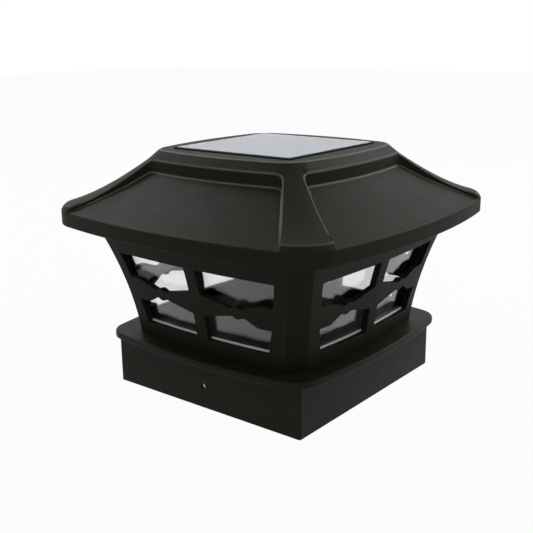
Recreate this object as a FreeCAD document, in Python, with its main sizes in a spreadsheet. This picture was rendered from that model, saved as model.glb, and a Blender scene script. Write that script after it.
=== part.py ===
import FreeCAD, Part
import math
import os
import re
import Sketcher
from FreeCAD import Placement, Rotation, Vector

# Solar post cap light: a square skirt that drops over a timber post, a flared
# lantern with four windows a side, and a lift-off head that holds the solar
# panel, the battery and the lamps.  Millimetres, +Z up.  The origin is at the
# centre of the skirt's bottom rim.

# ---------------------------------------------------------------- sizes

SIZES = [
    # post base
    ("post_width", 139.7, "actual width of a nominal 6 by 6 inch timber post"),
    ("post_clearance", 1.15, "gap between the post and the skirt, each side"),
    ("skirt_wall", 2.5, "skirt wall"),
    ("skirt_drop", 33.5, "skirt depth below the deck"),
    ("skirt_corner", 1.6, "outside corner radius of the skirt"),
    ("deck_thick", 2.5, "deck that closes the top of the skirt"),
    ("flange_overhang", 4.0, "flange beyond the skirt at its corners"),
    ("flange_bulge", 7.5, "bow of each flange side"),
    ("flange_corner", 16.5, "flange corner radius"),
    ("flange_lip", 4.3, "height of the flange edge"),
    ("flange_round", 1.25, "rounded top edge of the flange"),
    ("fixing_radius", 1.75, "radius of the fixing screw holes"),
    ("fixing_height", 14.0, "fixing screw holes above the rim"),
    # lantern frame
    ("frame_height", 73.5, "lantern frame height"),
    ("frame_wall", 4.5, "lantern frame wall"),
    ("frame_foot", 67.8, "half width at the foot"),
    ("frame_waist", 74.3, "half width at mid height"),
    ("frame_mouth", 86.0, "half width at the top"),
    ("frame_bulge", 3.7, "bow of each lantern side"),
    ("frame_chamfer", 10.0, "corner chamfer of the lantern"),
    ("window_sill", 8.5, "window bottom above the frame foot"),
    ("window_head", 54.4, "window top above the frame foot"),
    ("window_foot_half", 48.6, "outer jamb from the centre line, bottom"),
    ("window_top_half", 60.7, "outer jamb from the centre line, top"),
    ("mullion_width", 8.6, "upright between the windows"),
    ("rail_height", 31.6, "centre of the cross rail above the frame foot"),
    ("rail_end_half", 7.3, "half height of the cross rail at its ends"),
    ("rail_neck_half", 2.8, "half height of the cross rail at its neck"),
    ("rail_flat", 9.0, "level stretch of the rail beside the jamb"),
    ("neck_half", 5.4, "half length of the neck"),
    ("bead_radius", 4.1, "bead at the neck"),
    ("bead_place", 30.0, "bead from the centre line"),
    # panes and floor
    ("glue_gap", 0.3, "glue line between a pane and the frame"),
    ("pane_thick", 1.8, "pane thickness"),
    ("pane_lap", 2.6, "pane beyond the window opening"),
    ("pane_foot", 1.6, "extra thickness of the pane's foot"),
    ("pane_foot_height", 3.0, "height of the pane's foot"),
    ("floor_thick", 4.0, "lantern floor thickness"),
    ("floor_gap", 0.3, "gap round the lantern floor"),
    ("boss_radius", 4.0, "screw boss radius"),
    ("boss_height", 12.0, "frame boss height above the floor"),
    ("boss_place", 57.5, "frame boss from the centre lines"),
    ("boss_end", 1.0, "closed end of a screw boss"),
    # fasteners
    ("screw_radius", 1.5, "self-tapping screw radius"),
    ("screw_head", 3.2, "screw head radius"),
    ("screw_sink", 1.8, "height of the countersunk head"),
    ("screw_length", 15.0, "base and head screw length"),
    ("screw_tip", 0.4, "screw tip radius"),
    ("screw_gap", 0.05, "gap round a screw"),
    ("screw_end_gap", 0.5, "pilot hole past the tip of a head screw"),
    ("slot_wide", 0.8, "driver slot width"),
    ("slot_deep", 0.7, "driver slot depth"),
    ("slot_share", 1.2, "driver slot length, in head radii"),
    # roof
    ("soffit_recess", 1.8, "underside plate above the eave edge"),
    ("fascia_height", 9.4, "upright eave edge"),
    ("eave_half", 98.7, "eave half width at its corners"),
    ("eave_bulge", 11.4, "bow of each eave side"),
    ("eave_corner", 24.0, "eave corner radius"),
    ("lip_rise", 3.2, "rounded edge above the fascia"),
    ("lip_inset", 1.8, "rounded edge, how far it leans in"),
    ("hip_low_half", 81.8, "hip half width, lower station"),
    ("hip_low_rise", 20.3, "hip height above the eave, lower station"),
    ("hip_high_half", 71.6, "hip half width, upper station"),
    ("hip_high_rise", 27.7, "hip height above the eave, upper station"),
    ("band_half", 58.7, "half width at the foot of the top band"),
    ("band_drop", 6.1, "height of the top band"),
    ("crown_half", 53.4, "crown half width at its corners"),
    ("crown_bulge", 6.3, "bow of each crown side"),
    ("crown_corner", 17.0, "crown corner radius"),
    ("roof_rise", 45.0, "crown above the eave edge"),
    ("roof_wall", 2.5, "roof shell wall"),
    ("recess_drop", 8.4, "riser height at the head of a roof panel"),
    ("recess_inset", 0.6, "riser behind the foot of the top band"),
    ("recess_top_half", 51.5, "half width of a roof panel at its head"),
    ("recess_eave_half", 82.3, "half width of a roof panel at the eave"),
    ("recess_corner", 5.0, "corner radius at the head of a roof panel"),
    ("recess_edge", 0.4, "depth of a roof panel at the eave"),
    ("recess_past", 1.0, "roof panel run on past the eave and the riser's foot"),
    ("recess_past_drop", 0.3, "fall of the roof panel past the eave"),
    ("recess_low_depth", 2.4, "depth of a roof panel, lower station"),
    ("recess_high_depth", 4.6, "depth of a roof panel, upper station"),
    ("recess_low_share", 0.24, "lower station, share of the way up the slope"),
    ("recess_high_share", 0.58, "upper station, share of the way up the slope"),
    # solar panel
    ("panel_half", 44.0, "solar panel half width"),
    ("panel_corner", 2.0, "solar panel corner radius"),
    ("panel_gap", 1.2, "gap round the solar panel"),
    ("pocket_depth", 2.2, "panel pocket below the crown"),
    ("seal_thick", 0.6, "foam seal under the panel"),
    ("seal_width", 6.0, "foam seal width"),
    ("backing_thick", 1.2, "panel backing board"),
    ("cell_thick", 0.4, "solar cell"),
    ("cell_gap", 1.2, "gap between solar cells"),
    ("cell_margin", 3.0, "bare border round the cells"),
    ("cell_count", 8, "cells side by side"),
    ("cover_thick", 1.0, "clear cover on the cells"),
    ("lead_hole", 4.0, "radius of the lead hole under the panel"),
    # underside plate
    ("plate_thick", 2.5, "underside plate"),
    ("plate_gap", 0.3, "gap between the plate and the roof shell"),
    ("plug_depth", 4.8, "rim that centres the head in the lantern"),
    ("plug_wall", 2.0, "wall of that rim"),
    ("plug_gap", 0.5, "gap between the rim and the lantern"),
    ("head_boss_place", 60.0, "roof boss from the centre lines"),
    ("head_boss_radius", 3.6, "roof boss radius"),
    # battery
    ("cell_radius", 7.15, "AA cell radius"),
    ("can_length", 49.0, "AA cell without its button"),
    ("button_radius", 2.7, "AA cell button radius"),
    ("button_length", 1.0, "AA cell button"),
    ("battery_place", 34.0, "battery from the centre, towards -X"),
    ("battery_lift", 8.2, "battery centre above the plate"),
    ("box_wall", 1.5, "battery box wall"),
    ("box_gap", 0.5, "gap round the battery"),
    ("contact_thick", 0.5, "contact strip"),
    ("spring_travel", 3.4, "space that the spring contact takes up"),
    ("contact_half", 4.0, "contact strip half width"),
    ("contact_drop", 5.6, "foot of the minus contact below the battery's centre"),
    ("contact_bend", 0.8, "minus contact, thickness along its bend"),
    # battery door
    ("door_thick", 2.0, "battery door"),
    ("door_lap", 1.5, "door beyond its opening"),
    ("door_gap", 0.2, "gap between the door and the plate"),
    ("pin_radius", 1.0, "hinge pin radius"),
    ("pin_gap", 0.06, "hinge pin running gap"),
    ("knuckle_radius", 2.2, "hinge knuckle radius"),
    ("knuckle_half", 19.7, "half length of the door's knuckle"),
    ("lug_gap", 0.3, "gap between knuckle and lug"),
    ("lug_length", 4.0, "length of a hinge lug"),
    ("latch_half", 4.0, "half length of the finger ridge"),
    ("latch_height", 1.2, "height of the finger ridge"),
    # lamps and board
    ("board_half", 20.0, "circuit board half width"),
    ("board_thick", 1.6, "circuit board"),
    ("standoff_height", 5.0, "board above the plate"),
    ("standoff_radius", 2.8, "board standoff radius"),
    ("standoff_place", 15.5, "board standoffs from the centre lines"),
    ("board_screw_length", 5.2, "board screw length"),
    ("board_screw_radius", 1.0, "board screw radius"),
    ("board_screw_head", 2.0, "board screw head radius"),
    ("board_screw_crown", 1.3, "flat top of the board screw head, radius"),
    ("board_screw_cap", 1.2, "board screw head height"),
    ("lamp_radius", 2.5, "LED radius"),
    ("lamp_ring", 11.0, "LEDs from the centre"),
    ("lamp_count", 4, "LEDs"),
    ("lamp_reach", 6.5, "LED body below the board"),
    ("lamp_gap", 0.3, "gap round an LED in the plate"),
    ("diffuser_radius", 20.0, "diffuser radius"),
    ("diffuser_depth", 6.0, "diffuser depth"),
    ("diffuser_wall", 1.8, "diffuser wall"),
    # switch
    ("switch_place", 36.0, "switch from the centre, towards +X"),
    ("switch_long", 12.0, "switch body length"),
    ("switch_wide", 6.6, "switch body width"),
    ("switch_high", 4.5, "switch body height"),
    ("switch_wall", 1.0, "switch body wall"),
    ("slider_long", 4.5, "shoe of the switch slider"),
    ("slider_gap", 0.1, "gap beside the slider"),
    ("shoe_high", 2.2, "height of the slider's shoe"),
    ("stem_long", 3.0, "slider stem along its travel"),
    ("stem_wide", 2.6, "slider stem width"),
    ("stem_reach", 1.8, "slider below the plate"),
    ("switch_travel", 4.0, "slider travel from off to on"),
    # leads
    ("lead_radius", 0.6, "lead radius"),
    ("lead_spread", 3.0, "leads apart"),
    ("lead_lift", 4.0, "leads above the board"),
    ("lead_start", 4.0, "level run of a lead from the switch"),
    ("lead_climb", 3.0, "run of a lead while it climbs to the board"),
    ("lead_slack", 3.5, "sideways bow of the panel leads"),
    ("bend_share", 0.45, "part of a lead's leg that a bend takes up"),
    # cutting tools
    ("overshoot", 1.0, "how far a cutting tool passes a face"),
]

# What follows from the sizes, written with their names.
DERIVED = {
    "socket_half": "post_width / 2 + post_clearance",
    "skirt_half": "socket_half + skirt_wall",
    "deck_top": "skirt_drop + deck_thick",
    "lip_bottom": "deck_top - flange_lip",
    "flange_half": "skirt_half + flange_overhang",
    "floor_top": "deck_top + floor_thick",
    "frame_top": "deck_top + frame_height",
    "plate_top": "frame_top + plate_thick",
    "eave_bottom": "frame_top - soffit_recess",
    "fascia_top": "eave_bottom + fascia_height",
    "lip_top": "fascia_top + lip_rise",
    "crown_top": "eave_bottom + roof_rise",
    "band_foot": "crown_top - band_drop",
    "pocket_floor": "crown_top - pocket_depth",
    "pocket_half": "panel_half + panel_gap",
    "cavity_top": "pocket_floor - roof_wall",
    "backing_bottom": "pocket_floor + seal_thick",
    "cells_bottom": "backing_bottom + backing_thick",
    "cover_bottom": "cells_bottom + cell_thick",
    "cell_span": "2 * panel_half - 2 * cell_margin",
    "cell_pitch": "(cell_span + cell_gap) / cell_count",
    "board_bottom": "plate_top + standoff_height",
    "board_top": "board_bottom + board_thick",
    "bay_half": "cell_radius + box_gap",
    "bay_long": "can_length + button_length + contact_thick + spring_travel",
    "box_high": "battery_lift + cell_radius + box_gap + box_wall",
    "battery_level": "plate_top + battery_lift",
    "door_top": "frame_top - door_gap",
    "door_half": "bay_half + door_lap",
    "door_long": "bay_long + 2 * door_lap",
    "hinge_level": "door_top - knuckle_radius",
    "hinge_place": "0 - battery_place - door_half - knuckle_radius",
    "lug_start": "knuckle_half + lug_gap",
    "pin_half": "lug_start + lug_length",
    "slot_long": "switch_travel + stem_long + 2 * slider_gap",
    "slot_wide_half": "stem_wide / 2 + slider_gap",
}

doc = FreeCAD.newDocument("PostCapLight")
sheet = doc.addObject("Spreadsheet::Sheet", "Sizes")
for row, (alias, number, note) in enumerate(SIZES, start=1):
    sheet.set("A%d" % row, note)
    sheet.set("B%d" % row, str(number))
    sheet.setAlias("B%d" % row, alias)
doc.recompute()

ALIASES = {alias for alias, _, _ in SIZES}


def expand(text):
    """Write an expression on the sheet's aliases from one on plain names."""
    def swap(match):
        word = match.group(0)
        if word in ALIASES:
            return "Sizes." + word
        if word in DERIVED:
            return "(" + expand(DERIVED[word]) + ")"
        return word
    return re.sub(r"[a-z][a-z_]*", swap, text)


def value(text):
    """Number that an expression on the sizes comes to."""
    return float(sheet.evalExpression(expand(text)))


# ---------------------------------------------------------------- building blocks

parts = []
CORNERS = [(-1, -1), (1, -1), (1, 1), (-1, 1)]
TINY = 1e-6

# An inset of 1 shortens the leg of a corner chamfer by this much.
CHAMFER_SHRINK = 2 - math.sqrt(2)

# Sections that a lofted form of the lantern passes through.
STATIONS = 6


def bind(item, expressions):
    for prop, text in expressions.items():
        item.setExpression(prop, expand(text))


def place(item, x, y, z):
    bind(item, {".Placement.Base.x": x, ".Placement.Base.y": y, ".Placement.Base.z": z})


def block(name, long, wide, high, x, y, bottom):
    """Box centred on x and y, standing on its bottom level."""
    item = doc.addObject("Part::Box", name)
    bind(item, {"Length": long, "Width": wide, "Height": high})
    place(item, "%s - (%s) / 2" % (x, long), "%s - (%s) / 2" % (y, wide), bottom)
    return item


AXES = {
    "Z": Rotation(),
    "Y": Rotation(Vector(0, 0, 1), Vector(0, 1, 0)),
}


def rod(name, radius, length, x, y, z, axis="Z"):
    """Cylinder that starts at a point and runs along an axis."""
    item = doc.addObject("Part::Cylinder", name)
    bind(item, {"Radius": radius, "Height": length})
    item.Placement = Placement(Vector(), AXES[axis])
    place(item, x, y, z)
    return item


def cone(name, low_radius, high_radius, height, x, y, bottom):
    item = doc.addObject("Part::Cone", name)
    bind(item, {"Radius1": low_radius, "Radius2": high_radius, "Height": height})
    place(item, x, y, bottom)
    return item


def joined(name, items):
    item = doc.addObject("Part::MultiFuse", name)
    item.Shapes = items
    return item


def less(name, base, tools):
    item = doc.addObject("Part::Cut", name)
    item.Base = base
    item.Tool = tools[0] if len(tools) == 1 else joined(name + "_tools", tools)
    return item


def grouped(name, items):
    item = doc.addObject("Part::Compound", name)
    item.Links = items
    return item


def shaped(name, shape, quarter=0):
    """Object for a form that primitives don't give, such as a loft, set down
    with a number of quarter turns about the upright axis."""
    item = doc.addObject("Part::Feature", name)
    item.Shape = shape
    item.Placement = Placement(Vector(), Rotation(Vector(0, 0, 1), 90 * quarter))
    return item


def keep(item, label):
    """Name a sub-part of the object."""
    item.Label = label
    parts.append(item)
    return item


def plate_body(name, long, wide, thick, x, y, bottom, corner=None, holes=()):
    """PartDesign plate with optional rounded corners and round holes."""
    body = doc.addObject("PartDesign::Body", name)
    ground = [f for f in body.Origin.OriginFeatures if f.Role == "XY_Plane"][0]
    outline = body.newObject("Sketcher::SketchObject", name + "_outline")
    outline.AttachmentSupport = [(ground, "")]
    outline.MapMode = "FlatFace"
    half_long = value(long) / 2
    half_wide = value(wide) / 2
    ends = [(half_long * side_x, half_wide * side_y) for side_x, side_y in CORNERS]
    for start, end in zip(ends, ends[1:] + ends[:1]):
        outline.addGeometry(Part.LineSegment(Vector(*start, 0), Vector(*end, 0)), False)
    for side in range(4):
        outline.addConstraint(Sketcher.Constraint("Coincident", side, 2, (side + 1) % 4, 1))
    outline.addConstraint(Sketcher.Constraint("Horizontal", 0))
    outline.addConstraint(Sketcher.Constraint("Horizontal", 2))
    outline.addConstraint(Sketcher.Constraint("Vertical", 1))
    outline.addConstraint(Sketcher.Constraint("Vertical", 3))
    outline.addConstraint(Sketcher.Constraint("Symmetric", 0, 1, 1, 2, -1, 1))
    outline.addConstraint(Sketcher.Constraint("DistanceX", 0, 1, 0, 2, 2 * half_long))
    outline.renameConstraint(9, "long")
    outline.addConstraint(Sketcher.Constraint("DistanceY", 1, 1, 1, 2, 2 * half_wide))
    outline.renameConstraint(10, "wide")
    bind(outline, {"Constraints.long": long, "Constraints.wide": wide})
    pad = body.newObject("PartDesign::Pad", name + "_pad")
    pad.Profile = outline
    bind(pad, {"Length": thick})
    doc.recompute()
    if holes:
        drill = body.newObject("Sketcher::SketchObject", name + "_holes")
        drill.AttachmentSupport = [(ground, "")]
        drill.MapMode = "FlatFace"
        for index, (hole_x, hole_y, radius) in enumerate(holes):
            circle = Part.Circle(Vector(value(hole_x), value(hole_y), 0), Vector(0, 0, 1), value(radius))
            drill.addGeometry(circle, False)
            drill.addConstraint(Sketcher.Constraint("DistanceX", -1, 1, index, 3, value(hole_x)))
            drill.addConstraint(Sketcher.Constraint("DistanceY", -1, 1, index, 3, value(hole_y)))
            drill.addConstraint(Sketcher.Constraint("Radius", index, value(radius)))
            for offset, text in enumerate((hole_x, hole_y, radius)):
                bind(drill, {"Constraints[%d]" % (3 * index + offset): text})
        pocket = body.newObject("PartDesign::Pocket", name + "_drilled")
        pocket.Profile = drill
        pocket.Reversed = True
        bind(pocket, {"Length": thick})
        doc.recompute()
        if not pocket.Shape.Volume < pad.Shape.Volume:
            raise RuntimeError(name + ": the holes cut nothing")
    if corner:
        base = body.Tip
        upright = []
        for index, edge in enumerate(base.Shape.Edges, start=1):
            first, last = edge.Vertexes[0].Point, edge.Vertexes[-1].Point
            straight = edge.Curve.TypeId == "Part::GeomLine"
            outer = abs(abs(first.x) - half_long) < TINY and abs(abs(first.y) - half_wide) < TINY
            if straight and outer and abs(first.z - last.z) > TINY:
                upright.append("Edge%d" % index)
        rounding = body.newObject("PartDesign::Fillet", name + "_corners")
        rounding.Base = (base, upright)
        bind(rounding, {"Radius": corner})
        doc.recompute()
    place(body, x, y, bottom)
    return body


# ---------------------------------------------------------------- outlines

def share_of(low, high, share):
    return low + (high - low) * share


def turn(points, quarter):
    """Quarter turns about the upright axis."""
    spin = Rotation(Vector(0, 0, 1), 90 * quarter)
    return [spin.multVec(point) for point in points]


def bowed_wire(corner_half, bulge, corner_radius, level):
    """Square with bowed sides and rounded corners; the bowed sides would meet
    at corner_half, and stand bulge further out at their middle."""
    middle = corner_half + bulge
    side_radius = (corner_half ** 2 + bulge ** 2) / (2 * bulge)
    shift = side_radius - middle
    reach = (side_radius - corner_radius) ** 2
    centre = (-shift + math.sqrt(2 * reach - shift ** 2)) / 2
    angle = math.atan2(centre, centre + shift)
    edges = []
    for quarter in range(4):
        side = [
            Vector(side_radius * math.sin(turned), shift - side_radius * math.cos(turned), level)
            for turned in (-angle, 0, angle)
        ]
        corner = [
            Vector(
                centre + corner_radius * math.sin(turned), -centre - corner_radius * math.cos(turned), level)
            for turned in (angle, math.pi / 4, math.pi / 2 - angle)
        ]
        edges.append(Part.Arc(*turn(side, quarter)).toShape())
        edges.append(Part.Arc(*turn(corner, quarter)).toShape())
    return Part.Wire(edges)


def chamfered_wire(half, bulge, chamfer, level):
    """Square with bowed sides and flat chamfers at its corners."""
    edges = []
    for quarter in range(4):
        side = [
            Vector(-(half - chamfer), -half, level),
            Vector(0, -half - bulge, level),
            Vector(half - chamfer, -half, level),
        ]
        flat = [Vector(half - chamfer, -half, level), Vector(half, -(half - chamfer), level)]
        edges.append(Part.Arc(*turn(side, quarter)).toShape())
        edges.append(Part.LineSegment(*turn(flat, quarter)).toShape())
    return Part.Wire(edges)


def upright_solid(wire, height):
    return Part.Face(wire).extrude(Vector(0, 0, height))


def loft(wires, ruled=False):
    return Part.makeLoft(wires, True, ruled)


def merged(solids):
    shape = solids[0]
    for solid in solids[1:]:
        shape = shape.fuse(solid)
    return shape.removeSplitter()


def pipe(points, radius):
    """Tube through points, with an arc at each inner one."""
    edges = []
    start = points[0]
    for before, here, after in zip(points, points[1:], points[2:]):
        arriving = here - before
        leaving = after - here
        bend = arriving.getAngle(leaving)
        trim = value("bend_share") * min(arriving.Length, leaving.Length)
        arriving.normalize()
        leaving.normalize()
        first = here - arriving * trim
        last = here + leaving * trim
        inward = (leaving - arriving).normalize()
        arc_radius = trim / math.tan(bend / 2)
        middle = here + inward * (arc_radius / math.cos(bend / 2) - arc_radius)
        edges.append(Part.LineSegment(start, first).toShape())
        edges.append(Part.Arc(first, middle, last).toShape())
        start = last
    edges.append(Part.LineSegment(start, points[-1]).toShape())
    spine = Part.Wire(edges)
    heading = points[1] - points[0]
    ring = Part.Wire(Part.Circle(points[0], heading, radius).toShape())
    return spine.makePipeShell([ring], True, False)


# ---------------------------------------------------------------- post base

def post_base():
    flange_edge = bowed_wire(
        value("flange_half"), value("flange_bulge"), value("flange_corner"), value("lip_bottom"))
    flange = upright_solid(flange_edge, value("flange_lip"))
    top_edges = [e for e in flange.Edges if e.BoundBox.ZMin > value("deck_top") - TINY]
    flange = flange.makeFillet(value("flange_round"), top_edges)
    slab = shaped("flange_slab", flange)
    skirt = block("skirt_outer", "2 * skirt_half", "2 * skirt_half", "deck_top", "0", "0", "0")
    rounded = doc.addObject("Part::Fillet", "skirt_rounded")
    rounded.Base = skirt
    doc.recompute()
    upright = [
        index for index, edge in enumerate(skirt.Shape.Edges, start=1)
        if edge.BoundBox.ZLength > value("deck_top") / 2]
    rounded.Edges = [(index, value("skirt_corner"), value("skirt_corner")) for index in upright]
    socket = block("post_socket", "2 * socket_half", "2 * socket_half", "skirt_drop", "0", "0", "0")
    body = joined("base_solid", [slab, rounded])
    fixing = rod(
        "fixing_holes", "fixing_radius", "2 * skirt_half + 2 * overshoot", "0", "0 - skirt_half - overshoot",
        "fixing_height", "Y")
    tools = [socket, fixing]
    for index, (side_x, side_y) in enumerate(CORNERS):
        x = "%d * boss_place" % side_x
        y = "%d * boss_place" % side_y
        tools.append(rod(
            "deck_hole_%d" % index, "screw_radius + screw_gap", "deck_thick", x, y, "skirt_drop"))
        tools.append(cone(
            "deck_sink_%d" % index, "screw_head + screw_gap", "screw_radius + screw_gap", "screw_sink",
            x, y, "skirt_drop"))
    keep(less("post_base_shape", body, tools), "post_base")


# ---------------------------------------------------------------- lantern frame

def frame_half(height_above_foot):
    """Half width of the flared lantern: a curve through foot, waist and mouth."""
    along = height_above_foot / value("frame_height")
    foot, waist, mouth = value("frame_foot"), value("frame_waist"), value("frame_mouth")
    curve = 2 * (foot + mouth - 2 * waist)
    slope = mouth - foot - curve
    return foot + slope * along + curve * along ** 2


def flared(inset, low, high, stations=STATIONS):
    """Solid of the lantern's form, inset by a wall, between two levels."""
    corner_trim = inset * CHAMFER_SHRINK
    wires = []
    for station in range(stations):
        level = low + (high - low) * station / (stations - 1)
        half = frame_half(level - value("deck_top")) - inset
        wires.append(chamfered_wire(half, value("frame_bulge"), value("frame_chamfer") - corner_trim, level))
    return loft(wires)


def jamb_half(height_above_foot):
    """Outer jamb of the windows, from the centre line."""
    sill, head = value("window_sill"), value("window_head")
    share = (height_above_foot - sill) / (head - sill)
    return value("window_foot_half") + share * (value("window_top_half") - value("window_foot_half"))


def window_prism(upper, side, depth):
    """Prism through one window opening of the front; side is 1 or -1."""
    foot = value("deck_top")
    rail = value("rail_height")
    way = 1 if upper else -1
    mullion = value("mullion_width") / 2
    end_half, neck_half = value("rail_end_half"), value("rail_neck_half")
    bead, bead_x = value("bead_radius"), value("bead_place")
    far = value("window_head") if upper else value("window_sill")
    bead_reach = math.sqrt(bead ** 2 - neck_half ** 2)
    jamb = jamb_half(rail + way * end_half)
    outline = [
        (mullion, far),
        (mullion, rail + way * end_half),
        (bead_x - value("neck_half"), rail + way * neck_half),
        (bead_x - bead_reach, rail + way * neck_half),
        (bead_x, rail + way * bead),
        (bead_x + bead_reach, rail + way * neck_half),
        (bead_x + value("neck_half"), rail + way * neck_half),
        (jamb - value("rail_flat"), rail + way * end_half),
        (jamb, rail + way * end_half),
        (jamb_half(far), far),
    ]
    points = [Vector(side * x, 0, foot + z) for x, z in outline]
    edges = []
    before_bead, bead_top, after_bead = 3, 4, 5
    for index in range(len(points)):
        if index == before_bead:
            edges.append(Part.Arc(points[before_bead], points[bead_top], points[after_bead]).toShape())
        elif index != bead_top:
            edges.append(Part.LineSegment(points[index], points[(index + 1) % len(points)]).toShape())
    return Part.Face(Part.Wire(edges)).extrude(Vector(0, -depth, 0))


def webbed_bosses(spread, radius, bottom, height, web_reach):
    """Four screw bosses, each with a web that runs out to its corner."""
    boss_radius = value(radius)
    bosses = []
    for quarter in range(4):
        spot = Vector(value(spread), value(spread), value(bottom))
        boss = Part.makeCylinder(boss_radius, value(height), spot)
        web = Part.makeBox(value(web_reach), boss_radius, value(height), Vector(0, -boss_radius / 2, 0))
        web.rotate(Vector(), Vector(0, 0, 1), 45)
        web.translate(spot)
        bosses.append(quarter_turned(boss.fuse(web), quarter))
    return bosses


def quarter_turned(shape, quarter):
    copy = shape.copy()
    copy.rotate(Vector(), Vector(0, 0, 1), 90 * quarter)
    return copy


def lantern_frame():
    foot, top = value("deck_top"), value("frame_top")
    outer = flared(0, foot, top)
    past = value("overshoot")
    inner = flared(value("frame_wall"), foot - past, top + past)
    shell = outer.cut(inner)
    depth = value("frame_mouth") + 2 * value("frame_bulge")
    windows = [window_prism(upper, side, depth) for upper in (True, False) for side in (1, -1)]
    for quarter in range(4):
        shell = shell.cut([quarter_turned(window, quarter) for window in windows])
    bosses = webbed_bosses("boss_place", "boss_radius", "floor_top", "boss_height", "frame_mouth")
    filler = flared(value("frame_wall") / 2, foot, top)
    shell = shell.fuse([boss.common(filler) for boss in bosses]).removeSplitter()
    body = shaped("frame_shell", shell)
    drills = []
    for index, (side_x, side_y) in enumerate(CORNERS):
        drills.append(rod(
            "frame_pilot_%d" % index, "screw_radius + screw_gap", "boss_height - boss_end",
            "%d * boss_place" % side_x, "%d * boss_place" % side_y, "floor_top"))
    keep(less("lantern_frame_shape", body, drills), "lantern_frame")


def lantern_floor():
    low = value("deck_top")
    inset = value("frame_wall") + value("floor_gap")
    corner_trim = inset * CHAMFER_SHRINK
    wire = chamfered_wire(
        value("frame_foot") - inset, value("frame_bulge"), value("frame_chamfer") - corner_trim, low)
    body = shaped("floor_slab", upright_solid(wire, value("floor_thick")))
    drills = []
    for index, (side_x, side_y) in enumerate(CORNERS):
        drills.append(rod(
            "floor_hole_%d" % index, "screw_radius + screw_gap", "floor_thick",
            "%d * boss_place" % side_x, "%d * boss_place" % side_y, "deck_top"))
    keep(less("lantern_floor_shape", body, drills), "lantern_floor")


def bowed_strip(level, reach, outer_inset, inner_inset):
    """Outline of a pane at one level: two bowed edges that follow the front of
    the lantern, each inset by its own amount, joined at plus and minus reach."""
    half = frame_half(level - value("deck_top"))
    bulge = value("frame_bulge")
    span = half - value("frame_chamfer")
    side_radius = (span ** 2 + bulge ** 2) / (2 * bulge)
    sag = side_radius - math.sqrt(side_radius ** 2 - reach ** 2)
    edges = []
    ends = []
    for inset, side in ((outer_inset, 1), (inner_inset, -1)):
        middle = -(half + bulge - inset)
        start = Vector(-side * reach, middle + sag, level)
        end = Vector(side * reach, middle + sag, level)
        edges.append(Part.Arc(start, Vector(0, middle, level), end).toShape())
        ends.append((start, end))
    right = Part.LineSegment(ends[0][1], ends[1][0]).toShape()
    left = Part.LineSegment(ends[1][1], ends[0][0]).toShape()
    return Part.Wire([edges[0], right, edges[1], left])


def panes():
    """Clear panes behind the windows, each with a thicker foot on the floor."""
    foot = value("deck_top")
    low, high = value("floor_top"), foot + value("window_head") + value("pane_lap")
    face = value("frame_wall") + value("glue_gap")
    back = face + value("pane_thick")
    lap = value("pane_lap")
    wires = []
    for station in range(STATIONS):
        level = share_of(low, high, station / (STATIONS - 1))
        wires.append(bowed_strip(level, jamb_half(level - foot) + lap, face, back))
    foot_inset = (face + back) / 2
    foot_wires = []
    for level in (low, low + value("pane_foot_height")):
        reach = jamb_half(level - foot) + lap / 2
        foot_wires.append(bowed_strip(level, reach, foot_inset, back + value("pane_foot")))
    pane = loft(wires).fuse(loft(foot_wires)).removeSplitter()
    for quarter, side in enumerate(("front", "right", "back", "left")):
        keep(shaped("pane_%s_shape" % side, pane, quarter), "pane_" + side)


# ---------------------------------------------------------------- fasteners

def driver_cross(name, head_radius, x, y, level):
    """Cross recess for a driver, cut upwards from a level."""
    long = "slot_share * " + head_radius
    return [
        block(name + "_slot_a", long, "slot_wide", "slot_deep", x, y, level),
        block(name + "_slot_b", "slot_wide", long, "slot_deep", x, y, level),
    ]


def countersunk_screws(label, spread, level):
    """Four self-tapping screws with their heads down, driven upwards."""
    screws = []
    for index, (side_x, side_y) in enumerate(CORNERS):
        name = "%s_%d" % (label, index)
        x = "%d * %s" % (side_x, spread)
        y = "%d * %s" % (side_y, spread)
        solid = joined(name + "_solid", [
            cone(name + "_head", "screw_head", "screw_radius", "screw_sink", x, y, level),
            rod(name + "_shank", "screw_radius", "screw_length - screw_radius", x, y, level),
            cone(name + "_tip", "screw_radius", "screw_tip", "screw_radius", x, y,
                 level + " + screw_length - screw_radius"),
        ])
        screws.append(less(name, solid, driver_cross(name, "screw_head", x, y, level)))
    keep(grouped(label + "_shape", screws), label)


def board_screws():
    """Four pan-head screws that hold the circuit board down."""
    screws = []
    for index, (side_x, side_y) in enumerate(CORNERS):
        name = "board_screw_%d" % index
        x = "%d * standoff_place" % side_x
        y = "%d * standoff_place" % side_y
        solid = joined(name + "_solid", [
            cone(name + "_head", "board_screw_head", "board_screw_crown", "board_screw_cap", x, y,
                 "board_top"),
            rod(name + "_shank", "board_screw_radius", "board_screw_length", x, y,
                "board_top - board_screw_length"),
        ])
        slots = driver_cross(name, "board_screw_crown", x, y, "board_top + board_screw_cap - slot_deep")
        screws.append(less(name, solid, slots))
    keep(grouped("board_screws_shape", screws), "board_screws")


def fasteners():
    countersunk_screws("base_screws", "boss_place", "skirt_drop")
    countersunk_screws("head_screws", "head_boss_place", "frame_top")
    board_screws()


# ---------------------------------------------------------------- roof

def roof_bulge(half):
    """Bow of a roof section, from the eave's to the crown's."""
    share = (value("eave_half") - half) / (value("eave_half") - value("crown_half"))
    return share_of(value("eave_bulge"), value("crown_bulge"), share)


def roof_corner(half):
    share = (value("eave_half") - half) / (value("eave_half") - value("crown_half"))
    return share_of(value("eave_corner"), value("crown_corner"), share)


def roof_wire(half, level, inset=0.0):
    return bowed_wire(half - inset, roof_bulge(half), roof_corner(half) - inset, level)


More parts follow.
